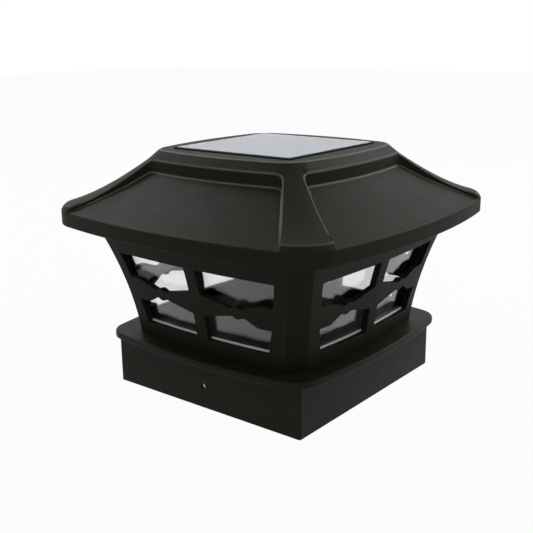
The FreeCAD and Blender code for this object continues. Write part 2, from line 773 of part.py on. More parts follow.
def hip_stations():
    """Hip line of the roof from the lip to the top band: half width, level."""
    eave = value("eave_bottom")
    return [
        (value("eave_half") - value("lip_inset"), value("lip_top")),
        (value("hip_low_half"), eave + value("hip_low_rise")),
        (value("hip_high_half"), eave + value("hip_high_rise")),
        (value("band_half"), value("band_foot")),
    ]


def panel_stations():
    """Sunk roof panels from the eave to past the riser's foot."""
    eave, top = value("eave_half"), value("band_half")
    low, high = value("fascia_top"), value("band_foot")
    foot_level = high - value("recess_drop")
    past = value("recess_past")
    edge_level = low - value("recess_edge")
    stations = [(eave + past, edge_level - value("recess_past_drop")), (eave, edge_level)]
    hips = [(eave, low)] + hip_stations()[1:]
    lower, upper = ("recess_low_share", "recess_low_depth"), ("recess_high_share", "recess_high_depth")
    for share, depth in (lower, upper):
        half = share_of(eave, top, value(share))
        stations.append((half, hip_level(half, hips) - value(depth)))
    before_half, before_level = stations[-1]
    foot_half = top + past
    slope = (foot_level - before_level) / (before_half - foot_half)
    stations.append((foot_half, foot_level))
    stations.append((top - 2 * past, foot_level + 3 * past * slope))
    return stations


def hip_level(half, hips):
    """Level of the hip line at a half width."""
    for (wide, low), (narrow, high) in zip(hips, hips[1:]):
        if wide >= half >= narrow:
            return share_of(low, high, (wide - half) / (wide - narrow))
    raise ValueError("half width outside the hip line")


def roof_form():
    """Closed form of the roof with its hips, before the panels are sunk."""
    eave = value("eave_half")
    lip = hip_stations()[0]
    fascia = upright_solid(roof_wire(eave, value("eave_bottom")), value("fascia_height"))
    edge = loft([roof_wire(eave, value("fascia_top")), roof_wire(*lip)], True)
    slope = loft([roof_wire(half, level) for half, level in hip_stations()])
    band_edge = roof_wire(value("band_half"), value("band_foot"))
    crown_edge = roof_wire(value("crown_half"), value("crown_top"))
    band = loft([band_edge, crown_edge], True)
    return merged([fascia, edge, slope, band])


def panel_sinks():
    """What is cut away to sink the four roof panels between the hips."""
    stations = panel_stations()
    under = loft([roof_wire(half, level) for half, level in stations])
    widest, widest_level = stations[0]
    base_level = value("eave_bottom") - value("overshoot")
    base = upright_solid(roof_wire(widest, base_level), widest_level - base_level)
    top_half = value("recess_top_half")
    riser_middle = value("band_half") + roof_bulge(value("band_half")) - value("recess_inset")
    bow = roof_bulge(value("band_half")) * (top_half / value("band_half")) ** 2
    beyond = value("eave_half") + 2 * value("eave_bulge")
    rise = (beyond - riser_middle) / (value("eave_half") + value("eave_bulge") / 2 - riser_middle)
    far_half = top_half + (value("recess_eave_half") - top_half) * rise
    low = value("eave_bottom") + value("fascia_height") / 2
    left = Vector(-top_half, -(riser_middle - bow), low)
    right = Vector(top_half, -(riser_middle - bow), low)
    edges = [
        Part.Arc(left, Vector(0, -riser_middle, low), right).toShape(),
        Part.LineSegment(right, Vector(far_half, -beyond, low)).toShape(),
        Part.LineSegment(Vector(far_half, -beyond, low), Vector(-far_half, -beyond, low)).toShape(),
        Part.LineSegment(Vector(-far_half, -beyond, low), left).toShape(),
    ]
    prism = upright_solid(Part.Wire(edges), value("roof_rise"))
    corners = []
    for edge in prism.Edges:
        upright = edge.BoundBox.ZLength > value("roof_rise") / 2
        reach = max(abs(edge.BoundBox.XMax), abs(edge.BoundBox.XMin))
        if upright and reach < top_half + value("overshoot"):
            corners.append(edge)
    prism = prism.makeFillet(value("recess_corner"), corners)
    sink = prism.cut([under, base])
    return [quarter_turned(sink, quarter) for quarter in range(4)]


def roof_cavity():
    """Hollow of the roof shell, a wall below the sunk panels."""
    wall = value("roof_wall")
    floor = value("eave_bottom") - value("overshoot")
    stations = [(half, level - wall) for half, level in panel_stations()]
    eave, eave_level = stations[1]
    skirt = upright_solid(roof_wire(eave, floor, wall), eave_level - floor)
    within = upright_solid(roof_wire(eave, floor, wall), value("crown_top") - floor)
    slope = loft([roof_wire(half, level, wall) for half, level in stations]).common(within)
    half, level = stations[-1]
    top = loft([roof_wire(half, level, wall), roof_wire(half - 2 * wall, value("cavity_top"), wall)], True)
    return merged([skirt, slope, top])


def roof_cap():
    form = roof_form()
    shell = form.cut(panel_sinks()).cut(roof_cavity())
    bosses = []
    spread = value("head_boss_place")
    for side_x, side_y in CORNERS:
        spot = Vector(side_x * spread, side_y * spread, value("plate_top"))
        bosses.append(Part.makeCylinder(value("head_boss_radius"), value("roof_rise"), spot))
    half_wall = value("roof_wall") / 2
    stations = [(half, level - half_wall) for half, level in panel_stations()]
    inner = loft([roof_wire(half, level, half_wall) for half, level in stations])
    eave, eave_level = stations[1]
    footing = upright_solid(
        roof_wire(eave, value("eave_bottom"), value("roof_wall")), eave_level - value("eave_bottom"))
    filler = merged([footing, inner])
    shell = shell.fuse([boss.common(filler) for boss in bosses]).removeSplitter()
    body = shaped("roof_shell", shell)
    tools = [
        block("panel_pocket", "2 * pocket_half", "2 * pocket_half", "pocket_depth + overshoot", "0", "0",
              "pocket_floor"),
        rod("lead_way", "lead_hole", "2 * roof_wall", "0", "0", "pocket_floor - 2 * roof_wall"),
    ]
    for index, (side_x, side_y) in enumerate(CORNERS):
        tools.append(rod(
            "roof_pilot_%d" % index, "screw_radius + screw_gap", "screw_length - plate_thick + screw_end_gap",
            "%d * head_boss_place" % side_x, "%d * head_boss_place" % side_y, "plate_top"))
    keep(less("roof_cap_shape", body, tools), "roof_cap")


# ---------------------------------------------------------------- solar panel

def solar_panel():
    wide = "2 * panel_half"
    within = wide + " - 2 * seal_width"
    outer = block("seal_outer", wide, wide, "seal_thick", "0", "0", "pocket_floor")
    inner = block("seal_inner", within, within, "seal_thick", "0", "0", "pocket_floor")
    keep(less("seal_frame", outer, [inner]), "panel_seal")
    backing = plate_body(
        "solar_backing_body", wide, wide, "backing_thick", "0", "0", "backing_bottom", "panel_corner")
    keep(backing, "solar_backing")
    cells = []
    for index in range(int(value("cell_count"))):
        x = "%d * cell_pitch + cell_pitch / 2 - cell_count * cell_pitch / 2" % index
        cells.append(block(
            "solar_cell_%d" % index, "cell_pitch - cell_gap", "cell_span", "cell_thick", x, "0",
            "cells_bottom"))
    keep(grouped("solar_cells_shape", cells), "solar_cells")
    cover = plate_body(
        "solar_cover_body", wide, wide, "cover_thick", "0", "0", "cover_bottom", "panel_corner")
    keep(cover, "solar_cover")


# ---------------------------------------------------------------- underside plate

def head_plate():
    gap = value("plate_gap")
    outline = roof_wire(value("eave_half"), value("frame_top"), value("roof_wall") + gap)
    slab = upright_solid(outline, value("plate_thick"))
    low = value("frame_top") - value("plug_depth")
    half = frame_half(low - value("deck_top"))
    rings = []
    for wall in (0, value("plug_wall")):
        inset = value("frame_wall") + value("plug_gap") + wall
        chamfer = value("frame_chamfer") - inset * CHAMFER_SHRINK
        wire = chamfered_wire(half - inset, value("frame_bulge"), chamfer, low)
        rings.append(upright_solid(wire, value("plug_depth")))
    body = shaped("plate_slab", merged([slab, rings[0].cut(rings[1])]))
    adds = [body]
    for index, (side_x, side_y) in enumerate(CORNERS):
        adds.append(rod(
            "standoff_%d" % index, "standoff_radius", "standoff_height",
            "%d * standoff_place" % side_x, "%d * standoff_place" % side_y, "plate_top"))
    for index, side in enumerate((-1, 1)):
        middle = "%d * (lug_start + lug_length / 2)" % side
        adds.append(block(
            "hinge_lug_%d" % index, "2 * knuckle_radius", "lug_length", "frame_top - hinge_level",
            "hinge_place", middle, "hinge_level"))
        adds.append(rod(
            "hinge_eye_%d" % index, "knuckle_radius", "lug_length", "hinge_place",
            middle + " - lug_length / 2", "hinge_level", "Y"))
    tools = [
        block("battery_way", "2 * bay_half", "bay_long", "plate_thick", "0 - battery_place", "0",
              "frame_top"),
        block("slider_way", "slot_long", "2 * slot_wide_half", "plate_thick",
              "switch_place + switch_travel / 2", "0", "frame_top"),
        rod("hinge_bore", "pin_radius + pin_gap", "2 * pin_half", "hinge_place", "0 - pin_half",
            "hinge_level", "Y"),
    ]
    for index, (side_x, side_y) in enumerate(CORNERS):
        x = "%d * head_boss_place" % side_x
        y = "%d * head_boss_place" % side_y
        tools.append(rod(
            "plate_hole_%d" % index, "screw_radius + screw_gap", "plate_thick", x, y, "frame_top"))
        tools.append(cone(
            "plate_sink_%d" % index, "screw_head + screw_gap", "screw_radius + screw_gap", "screw_sink",
            x, y, "frame_top"))
        tools.append(rod(
            "standoff_pilot_%d" % index, "board_screw_radius + screw_gap", "standoff_height - boss_end",
            "%d * standoff_place" % side_x, "%d * standoff_place" % side_y, "plate_top + boss_end"))
    for index, (x, y) in enumerate(lamp_spots()):
        tools.append(rod("lamp_way_%d" % index, "lamp_radius + lamp_gap", "plate_thick", x, y, "frame_top"))
    keep(less("head_plate_shape", joined("plate_solid", adds), tools), "head_plate")


def lamp_spots():
    """Places of the lamps, evenly round a ring."""
    count = int(value("lamp_count"))
    angles = [360 * index / count for index in range(count)]
    return [("lamp_ring * cos(%g)" % angle, "lamp_ring * sin(%g)" % angle) for angle in angles]


# ---------------------------------------------------------------- lamps and board

def lamps():
    hole = "board_screw_radius + screw_gap"
    holes = [("%d * standoff_place" % x, "%d * standoff_place" % y, hole) for x, y in CORNERS]
    board = plate_body(
        "circuit_board_body", "2 * board_half", "2 * board_half", "board_thick", "0", "0", "board_bottom",
        "panel_corner", holes)
    keep(board, "circuit_board")
    group = []
    for index, (x, y) in enumerate(lamp_spots()):
        stem = rod("led_stem_%d" % index, "lamp_radius", "lamp_reach", x, y, "board_bottom - lamp_reach")
        dome = doc.addObject("Part::Sphere", "led_dome_%d" % index)
        bind(dome, {"Radius": "lamp_radius"})
        place(dome, x, y, "board_bottom - lamp_reach")
        group.append(joined("led_%d" % index, [stem, dome]))
    keep(grouped("leds_shape", group), "leds")
    level = "frame_top - diffuser_depth"
    cup = less("diffuser_cup", rod("diffuser_outer", "diffuser_radius", "diffuser_depth", "0", "0", level), [
        rod("diffuser_inner", "diffuser_radius - diffuser_wall", "diffuser_depth - diffuser_wall", "0", "0",
            level + " + diffuser_wall")])
    keep(cup, "led_diffuser")


# ---------------------------------------------------------------- battery

def battery():
    x = "0 - battery_place"
    outer = block(
        "box_outer", "2 * bay_half + 2 * box_wall", "bay_long + 2 * box_wall", "box_high", x, "0",
        "plate_top")
    inner = block("box_inner", "2 * bay_half", "bay_long", "box_high - box_wall", x, "0", "plate_top")
    keep(less("battery_box_shape", outer, [inner]), "battery_box")

    plus_end = "bay_long / 2 - contact_thick"
    can_end = plus_end + " - button_length"
    can = rod("battery_can", "cell_radius", "can_length", x, can_end + " - can_length", "battery_level", "Y")
    button = rod("battery_button", "button_radius", "button_length", x, can_end, "battery_level", "Y")
    keep(joined("aa_battery_shape", [can, button]), "aa_battery")

    plus = plate_body(
        "contact_plus_body", "2 * contact_half", "contact_thick", "2 * contact_half", x,
        "bay_long / 2 - contact_thick / 2", "battery_level - contact_half")
    keep(plus, "contact_plus")

    # The minus contact is a strip bent to a V: one leg on the box wall, the
    # other leans out and presses flat on the end of the cell.
    wall_y = -value("bay_long") / 2
    press_y = wall_y + value("spring_travel")
    thick = value("contact_thick")
    centre = value("battery_level")
    half = value("contact_half")
    low = centre - value("contact_drop")
    bend = value("contact_bend")
    outline = [
        (wall_y, centre + half),
        (wall_y, low),
        (wall_y + bend, low),
        (press_y, centre - half / 2),
        (press_y, centre + half / 2),
        (press_y - thick, centre + half / 2),
        (press_y - thick, centre - half / 2),
        (wall_y + bend, low + bend),
        (wall_y + thick, low + bend),
        (wall_y + thick, centre + half),
    ]
    left = -value("battery_place") - half
    points = [Vector(left, y, z) for y, z in outline]
    strip = Part.Face(Part.makePolygon(points + points[:1])).extrude(Vector(2 * half, 0, 0))
    keep(shaped("contact_minus_shape", strip), "contact_minus")


def battery_door():
    free_edge = "0 - battery_place + door_half"
    panel_start = "hinge_place + knuckle_radius + lug_gap"
    panel_long = "(%s) - (%s)" % (free_edge, panel_start)
    panel = block(
        "door_panel", panel_long, "door_long", "door_thick", "(%s) / 2 + (%s) / 2" % (free_edge, panel_start),
        "0", "door_top - door_thick")
    tongue = block(
        "door_tongue", "(%s) - hinge_place" % panel_start, "2 * knuckle_half", "door_thick",
        "(%s) / 2 + hinge_place / 2" % panel_start, "0", "door_top - door_thick")
    knuckle = rod(
        "door_knuckle", "knuckle_radius", "2 * knuckle_half", "hinge_place", "0 - knuckle_half",
        "hinge_level", "Y")
    ridge = block(
        "door_ridge", "door_thick", "2 * latch_half", "latch_height", free_edge + " - door_thick", "0",
        "door_top - door_thick - latch_height")
    bore = rod(
        "door_bore", "pin_radius + pin_gap", "2 * knuckle_half", "hinge_place", "0 - knuckle_half",
        "hinge_level", "Y")
    door = joined("door_solid", [panel, tongue, knuckle, ridge])
    keep(less("battery_door_shape", door, [bore]), "battery_door")
    pin = rod(
        "hinge_pin_shape", "pin_radius", "2 * pin_half", "hinge_place", "0 - pin_half", "hinge_level", "Y")
    keep(pin, "hinge_pin")


# ---------------------------------------------------------------- switch

def switch():
    middle = "switch_place + switch_travel / 2"
    outer = block("switch_outer", "switch_long", "switch_wide", "switch_high", middle, "0", "plate_top")
    inner = block(
        "switch_inner", "switch_travel + slider_long + 2 * slider_gap", "switch_wide - 2 * switch_wall",
        "switch_high - switch_wall", middle, "0", "plate_top")
    keep(less("switch_body_shape", outer, [inner]), "switch_body")
    shoe = block(
        "slider_shoe", "slider_long", "switch_wide - 2 * switch_wall - 2 * slider_gap", "shoe_high",
        "switch_place", "0", "plate_top")
    stem = block(
        "slider_stem", "stem_long", "stem_wide", "plate_thick + stem_reach", "switch_place", "0",
        "frame_top - stem_reach")
    keep(joined("switch_slider_shape", [shoe, stem]), "switch_slider")


# ---------------------------------------------------------------- leads

def lead_pair(name, label, points, offset):
    tubes = []
    for side in (-0.5, 0.5):
        shift = offset * side
        tubes.append(pipe([point + shift for point in points], value("lead_radius")))
    keep(shaped(name, Part.makeCompound(tubes)), label)


def leads():
    """Pairs of leads: panel to board, battery box to board, switch to board."""
    across = Vector(0, value("lead_spread"), 0)
    board_top, panel_bottom = value("board_top"), value("backing_bottom")
    board_edge = value("board_half") / 2
    rise = panel_bottom - board_top
    lead_pair("panel_leads_shape", "panel_leads", [
        Vector(0, 0, board_top),
        Vector(0, 0, board_top + rise / 3),
        Vector(value("lead_slack"), 0, board_top + rise / 2),
        Vector(0, 0, board_top + 2 * rise / 3),
        Vector(0, 0, panel_bottom),
    ], across)

    box_side = value("bay_half") + value("box_wall") - value("battery_place")
    level = board_top + value("lead_lift")
    lead_pair("battery_leads_shape", "battery_leads", [
        Vector(box_side, 0, level),
        Vector(-board_edge, 0, level),
        Vector(-board_edge, 0, board_top),
    ], across)

    switch_side = value("switch_place") + value("switch_travel") / 2 - value("switch_long") / 2
    bend_x = switch_side - value("lead_start")
    low = value("plate_top") + value("switch_high") / 2
    lead_pair("switch_leads_shape", "switch_leads", [
        Vector(switch_side, 0, low),
        Vector(bend_x, 0, low),
        Vector(bend_x - value("lead_climb"), 0, level),
        Vector(board_edge, 0, level),
        Vector(board_edge, 0, board_top),
    ], across)


# ---------------------------------------------------------------- the object

post_base()
lantern_frame()
lantern_floor()
panes()
fasteners()
roof_cap()
solar_panel()
head_plate()
lamps()
battery()
battery_door()
switch()
leads()
doc.recompute()

for item in doc.Objects:
    if "Invalid" in item.State or "Error" in item.State:
        raise RuntimeError("%s failed: %s" % (item.Label, item.State))
for item in parts:
    if item.Shape.isNull() or not item.Shape.isValid():
        raise RuntimeError("%s has no valid shape" % item.Label)

os.makedirs("parts", exist_ok=True)
for item in parts:
    item.Shape.exportStep("parts/%s.step" % item.Label)
    box = item.Shape.BoundBox
    print("%-16s %2d solids %9.1f mm3  z %.2f to %.2f" % (
        item.Label, len(item.Shape.Solids), item.Shape.Volume, box.ZMin, box.ZMax))
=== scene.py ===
import math

import bmesh
import bpy
from mathutils import Matrix, Vector
from mathutils.bvhtree import BVHTree


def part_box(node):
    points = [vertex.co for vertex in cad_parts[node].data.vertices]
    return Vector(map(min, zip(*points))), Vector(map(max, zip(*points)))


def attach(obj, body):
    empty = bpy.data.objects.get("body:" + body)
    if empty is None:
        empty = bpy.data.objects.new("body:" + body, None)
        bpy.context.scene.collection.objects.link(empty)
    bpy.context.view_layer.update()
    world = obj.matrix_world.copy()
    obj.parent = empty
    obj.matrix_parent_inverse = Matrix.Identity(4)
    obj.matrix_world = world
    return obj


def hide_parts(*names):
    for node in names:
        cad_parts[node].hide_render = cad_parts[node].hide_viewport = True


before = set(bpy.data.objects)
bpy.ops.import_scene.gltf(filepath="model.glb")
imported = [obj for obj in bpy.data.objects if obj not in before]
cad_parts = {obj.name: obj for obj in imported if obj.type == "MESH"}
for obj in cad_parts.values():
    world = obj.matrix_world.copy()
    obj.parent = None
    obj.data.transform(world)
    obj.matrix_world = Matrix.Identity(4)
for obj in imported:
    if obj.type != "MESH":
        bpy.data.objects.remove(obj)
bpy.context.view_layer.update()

bl_info = {
    "name": "Post cap light",
    "version": (1, 0, 0),
    "blender": (4, 5, 0),
    "location": "View3D > Sidebar > Post Cap Light",
    "description": "Dresses a solar post cap light: roof, lantern, base, panes, panel and the works inside",
    "category": "Add Mesh",
}

MILLIMETRE = 0.001

# Places and sizes that follow the solids, in millimetres.
FRAME = {
    "Frame Level": 36.0, "Frame Height": 73.5, "Frame Foot": 67.8, "Frame Slope": 7.8, "Frame Curve": 10.4,
    "Frame Bulge": 3.7, "Frame Chamfer": 10.0}
PANE = {"Low": 40.0, "High": 93.0, "Reach Low": 50.01, "Reach High": 63.99, "Inset": 4.8, "Thickness": 1.8}
PANE_FOOT = {"Low": 40.0, "High": 43.0, "Reach Low": 48.71, "Reach High": 49.50, "Inset": 6.62, "Thickness": 1.58}
PANE_COLUMNS = 33
PANE_ROWS = 15
WINDOW_NEAR = 4.6
WINDOW_FAR = 48.2
WINDOW_SILL = 44.5
DECK_SCREW_LEVEL = 33.5
LID_SCREW_LEVEL = 109.5
SCREW_LENGTH = 15.0
BOSS_PLACE = 57.5
LID_BOSS_PLACE = 60.0
STANDOFF_PLACE = 15.5
LAMP_COUNT = 4
LAMP_RING = 11.0

# Sizes in metres, which go with the boxes of the CAD nodes.
CELL_COUNT = 8
CELL_GAP = 0.0012
CELL_CLEARANCE = 0.00006
FINGER_WIDTH = 0.0002
FINGER_HEIGHT = 0.00003
# Black bead round the cover: a painted shadow of the gap at the cover's edge.
PANEL_BEAD_SECTION = (0.00115, 0.00055, 1.0)
PANEL_BEAD_OUT = 0.00418
PANEL_BEAD_CORNER = 0.0030
PANEL_BEAD_LIFT = 0.0003
UNDER_SKIRT = 0.0715

# Heights in metres between which the painted highlight along an edge grows from none to full.
HIGHLIGHT_EVERYWHERE = (-1.0, -0.9)
HIGHLIGHT_AT_CROWN = (0.1165, 0.1245)
EDGE = "worn_edge"

# Clean-up of meshes: distances in metres, angles in degrees.
WELD = 1e-6
SLIVER = 1e-7
FLAT_ANGLE = 0.6
SHARP_ANGLE = 24.0
ROUND_SEGMENTS = 3

# Sockets of the colour Mix node, which has several of each name.
MIX_SHARE, MIX_LOW, MIX_HIGH, MIX_COLOUR = 0, 6, 7, 2

# Stage: metres, and shares of full white.
FLOOR_LEVEL = -0.0002
FLOOR_WHITE = 0.96
# Share of the floor's white taken away inside the skirt: a painted shade under the post.
SKIRT_PAINTED_SHADE = 0.7
LAMP_SIZE = 0.45
LAMP_AIM = (0, 0, 0.1)
BACK_LAMP_PLACE = (0.32, 1.00, 0.85)
LEFT_LAMP_PLACE = (-0.92, 0.12, 0.95)
LEFT_LAMP_SHARE = 0.6
SENSOR_WIDTH = 36.0
CAMERA_PLACE = (0.33177, -0.42438, 0.22175)
CAMERA_RIGHT = (0.78249, 0.62256, -0.01150)
CAMERA_DOWN = (0.15646, -0.21446, -0.96412)
CAMERA_AHEAD = (-0.60269, 0.75262, -0.26521)


# ------------------------------------------------------------ sizes and colours

class ShapeSettings(bpy.types.PropertyGroup):
    """Sizes of the pieces that a user may change"""
    roof_edge: bpy.props.FloatProperty(
        name="Roof edge", description="Rounding of the moulded edges of the roof", default=0.0010, unit="LENGTH")
    body_edge: bpy.props.FloatProperty(
        name="Body edge", description="Rounding of the edges of the lantern and the base",
        default=0.0005, unit="LENGTH")
    pane_edge: bpy.props.FloatProperty(
        name="Pane edge", description="Rounding of the edges of the clear pieces", default=0.0003, unit="LENGTH")
    bead: bpy.props.FloatProperty(
        name="Sealant bead", description="Radius of the bead along the foot of each window",
        default=0.0008, unit="LENGTH")
    finger_pitch: bpy.props.FloatProperty(
        name="Finger pitch", description="Distance between the contact fingers of a solar cell",
        default=0.0016, unit="LENGTH")
    facets: bpy.props.IntProperty(
        name="Facets", description="Faces round a turned piece", default=32, min=12)


class FinishSettings(bpy.types.PropertyGroup):
    """Colours of the finishes"""
    moulding: bpy.props.FloatVectorProperty(
        name="Moulding colour", description="Colour of the black moulded plastic",
        default=(0.0172, 0.0176, 0.0128), size=3, subtype="COLOR")
    # Colour of the highlight painted along the moulded edges, standing in for light caught by them.
    edge_highlight: bpy.props.FloatVectorProperty(
        name="Painted edge highlight colour", description="Colour of the highlight painted along the moulded edges",
        default=(0.150, 0.149, 0.131), size=3, subtype="COLOR")
    pane_tint: bpy.props.FloatVectorProperty(
        name="Pane tint", description="Tint of the clear window panes",
        default=(0.895, 0.905, 0.905), size=3, subtype="COLOR")
    cell_colour: bpy.props.FloatVectorProperty(
        name="Solar cell colour", description="Colour of the silicon under the clear cover",
        default=(0.115, 0.160, 0.245), size=3, subtype="COLOR")
    steel: bpy.props.FloatVectorProperty(
        name="Steel colour", description="Colour of the plated steel screws and contacts",
        default=(0.62, 0.61, 0.58), size=3, subtype="COLOR")


class StageSettings(bpy.types.PropertyGroup):
    """Floor, camera and lamps"""
    floor_size: bpy.props.FloatProperty(
        name="Floor size", description="Side of the floor square", default=8.0, unit="LENGTH")
    lens: bpy.props.FloatProperty(
        name="Lens", description="Focal length of the camera on a 36 mm sensor, in millimetres", default=57.515)
    key_power: bpy.props.FloatProperty(
        name="Key lamp", description="Power of the large lamp behind the light", default=6.5)


def shape_settings():
    return bpy.context.scene.post_light_shape


def finish_settings():
    return bpy.context.scene.post_light_finish


def stage_settings():
    return bpy.context.scene.post_light_stage


# ------------------------------------------------------------ shader maths

class Term:
    """A value in a material that can be written in sums."""

    def __init__(self, mix, socket):
        self.mix = mix
        self.socket = socket

    def maths(self, operation, *operands):
        return self.mix.node("ShaderNodeMath", {"operation": operation}, dict(enumerate(operands))).first

    def __add__(self, other):
        return self.maths("ADD", self, other)

    def __radd__(self, other):
        return self.maths("ADD", other, self)

    def __sub__(self, other):
        return self.maths("SUBTRACT", self, other)

    def __rsub__(self, other):
        return self.maths("SUBTRACT", other, self)

    def __mul__(self, other):
        return self.maths("MULTIPLY", self, other)

    def __rmul__(self, other):
        return self.maths("MULTIPLY", other, self)

    def __truediv__(self, other):
        return self.maths("DIVIDE", self, other)

    def __rtruediv__(self, other):
        return self.maths("DIVIDE", other, self)

    def __pow__(self, other):
        return self.maths("POWER", self, other)

    def __gt__(self, other):
        return self.maths("GREATER_THAN", self, other)

    def __lt__(self, other):
        return self.maths("LESS_THAN", self, other)

    def __abs__(self):
        return self.maths("ABSOLUTE", self)

    def within(self, low, high):
        """Share of the way from low to high, kept between 0 and 1."""
        return self.mix.node(
            "ShaderNodeMapRange", {"interpolation_type": "SMOOTHSTEP"},
            {"Value": self, "From Min": low, "From Max": high}).first


class Outputs:
    """The outputs of a node, by name, as terms."""

    def __init__(self, mix, node):
        self.mix = mix
        self.node = node

    def __getitem__(self, name):
        return Term(self.mix, self.node.outputs[name])

    @property
    def first(self):
        return self[0]


class Wiring:
    """A node tree, made from terms and nodes."""

    def __init__(self, tree):
        self.tree = tree
        self.tree.nodes.clear()

    def node(self, kind, options=None, inputs=None):
        made = self.tree.nodes.new(kind)
        for key, option in (options or {}).items():
            setattr(made, key, option)
        for key, given in (inputs or {}).items():
            if isinstance(given, Term):
                self.tree.links.new(given.socket, made.inputs[key])
            else:
                made.inputs[key].default_value = given
        return Outputs(self, made)


class Mix(Wiring):
    """One material, or the world."""

    def __init__(self, owner):
        self.material = bpy.data.materials.new(owner) if isinstance(owner, str) else owner
        self.material.use_nodes = True
        super().__init__(self.material.node_tree)

    def place(self):
        return self.node("ShaderNodeTexCoord")["Object"]

    def axis(self, name):
        return self.node("ShaderNodeSeparateXYZ", None, {0: self.place()})[name]

    def noise(self, scale, detail=3.0, roughness=0.5):
        return self.node("ShaderNodeTexNoise", None, {
            "Vector": self.place(), "Scale": scale, "Detail": detail, "Roughness": roughness})["Fac"]

    def cells(self, scale):
        return self.node("ShaderNodeTexVoronoi", None, {"Vector": self.place(), "Scale": scale})["Distance"]

    def blend(self, share, low, high):
        """Colour between low and high."""
        return self.node("ShaderNodeMix", {"data_type": "RGBA"}, {
            MIX_SHARE: share, MIX_LOW: low, MIX_HIGH: high})[MIX_COLOUR]

    def bump(self, height, strength, depth):
        return self.node("ShaderNodeBump", None, {
            "Height": height, "Strength": strength, "Distance": depth})["Normal"]

    def seen(self):
        """1 where a ray comes from the camera, a mirror or through glass."""
        path = self.node("ShaderNodeLightPath")
        rays = path["Is Camera Ray"] + path["Is Glossy Ray"] + path["Is Transmission Ray"]
        return self.node("ShaderNodeClamp", None, {"Value": rays}).first

    def finish(self, inputs):
        shader = self.node("ShaderNodeBsdfPrincipled", None, inputs)
        self.node("ShaderNodeOutputMaterial", None, {"Surface": shader["BSDF"]})
        return self.material


class Growth(Wiring):
    """One geometry tree with named inputs; it ends in real faces with a finish."""

    def __init__(self, name, inputs):
        super().__init__(bpy.data.node_groups.new(name, "GeometryNodeTree"))
        sockets = self.tree.interface
        for label, kind in inputs + [("Finish", "Material")]:
            sockets.new_socket(label, in_out="INPUT", socket_type="NodeSocket" + kind)
        sockets.new_socket("Geometry", in_out="OUTPUT", socket_type="NodeSocketGeometry")
        self.inputs = self.node("NodeGroupInput")

    def vector(self, x=0.0, y=0.0, z=0.0):
        return self.node("ShaderNodeCombineXYZ", None, {0: x, 1: y, 2: z}).first

    def row(self, count, pitch, axis):
        """Points on a line about the centre."""
        start = (count - 1) * pitch * -0.5
        return self.node("GeometryNodeMeshLine", None, {
            "Count": count, "Start Location": self.vector(**{axis: start}),
            "Offset": self.vector(**{axis: pitch})})["Mesh"]

    def repeat(self, points, item, rotation=(0.0, 0.0, 0.0)):
        return self.node("GeometryNodeInstanceOnPoints", None, {
            "Points": points, "Instance": item, "Rotation": rotation})["Instances"]

    def on_four_sides(self, item):
        """The item and its copies a quarter, half and three quarters round the middle."""
        turn = self.node("GeometryNodeInputIndex").first * (math.pi / 2)
        return self.repeat(self.row(4, 0.0, "x"), item, self.vector(z=turn))

    def given_item(self):
        return self.node("GeometryNodeObjectInfo", None, {
            "Object": self.inputs["Item"], "As Instance": True})["Geometry"]

    def join(self, *parts):
        made = self.node("GeometryNodeJoinGeometry")
        for part in parts:
            self.tree.links.new(part.socket, made.node.inputs[0])
        return made.first

    def end(self, geometry):
        real = self.node("GeometryNodeRealizeInstances", None, {"Geometry": geometry})["Geometry"]
        clad = self.node("GeometryNodeSetMaterial", None, {
            "Geometry": real, "Material": self.inputs["Finish"]})["Geometry"]
        self.node("NodeGroupOutput", None, {"Geometry": clad})
        return self.tree


def shade(colour, factor=1.0):
    """Opaque colour made darker or lighter."""
    return tuple(min(1.0, part * factor) for part in colour) + (1.0,)


# ------------------------------------------------------------ materials

def moulded_black(name, highlight_share, highlight_between=HIGHLIGHT_EVERYWHERE, roughness=0.52, gloss=0.06):
    """Black moulding with a fine sparked grain, faint flow clouds and a painted highlight along its rounded edges.
    """
    colours = finish_settings()
    mix = Mix(name)
    grain = mix.noise(scale=2400.0, detail=4.0, roughness=0.65)
    pits = mix.cells(scale=3000.0)
    cloud = mix.noise(scale=16.0, detail=4.0, roughness=0.6)
    wipe = mix.noise(scale=70.0, detail=3.0, roughness=0.55)
    # Painted highlight: between the given heights the rounded edges get a lighter, glossier colour, standing in
    # for light caught by them.
    edge = mix.node("ShaderNodeAttribute", {"attribute_name": EDGE})["Fac"]
    edge_highlight = edge * (0.4 + 0.9 * wipe) * highlight_share * mix.axis("Z").within(*highlight_between)
    skin = mix.blend(0.7 * cloud + 0.3 * grain, shade(colours.moulding, 0.72), shade(colours.moulding, 1.28))
    return mix.finish({
        "Base Color": mix.blend(edge_highlight, skin, shade(colours.edge_highlight)),
        "Roughness": roughness - 0.09 + 0.12 * wipe + 0.08 * grain - 0.12 * edge_highlight,
        "Normal": mix.bump(grain * 0.7 + pits * 0.5, strength=0.35, depth=0.00007),
        "Specular IOR Level": gloss,
    })


def clear_pane(name):
    """Clear moulded plastic, barely wavy, with a faint haze."""
    colour = finish_settings().pane_tint
    mix = Mix(name)
    wave = mix.noise(scale=34.0, detail=1.0, roughness=0.4)
    haze = mix.noise(scale=420.0, detail=3.0, roughness=0.6)
    return mix.finish({
        "Base Color": mix.blend(haze, shade(colour, 0.97), shade(colour)),
        "Roughness": 0.015 + 0.03 * haze,
        "Normal": mix.bump(wave, strength=0.16, depth=0.0015),
        "Transmission Weight": 1.0,
        "IOR": 1.49,
    })


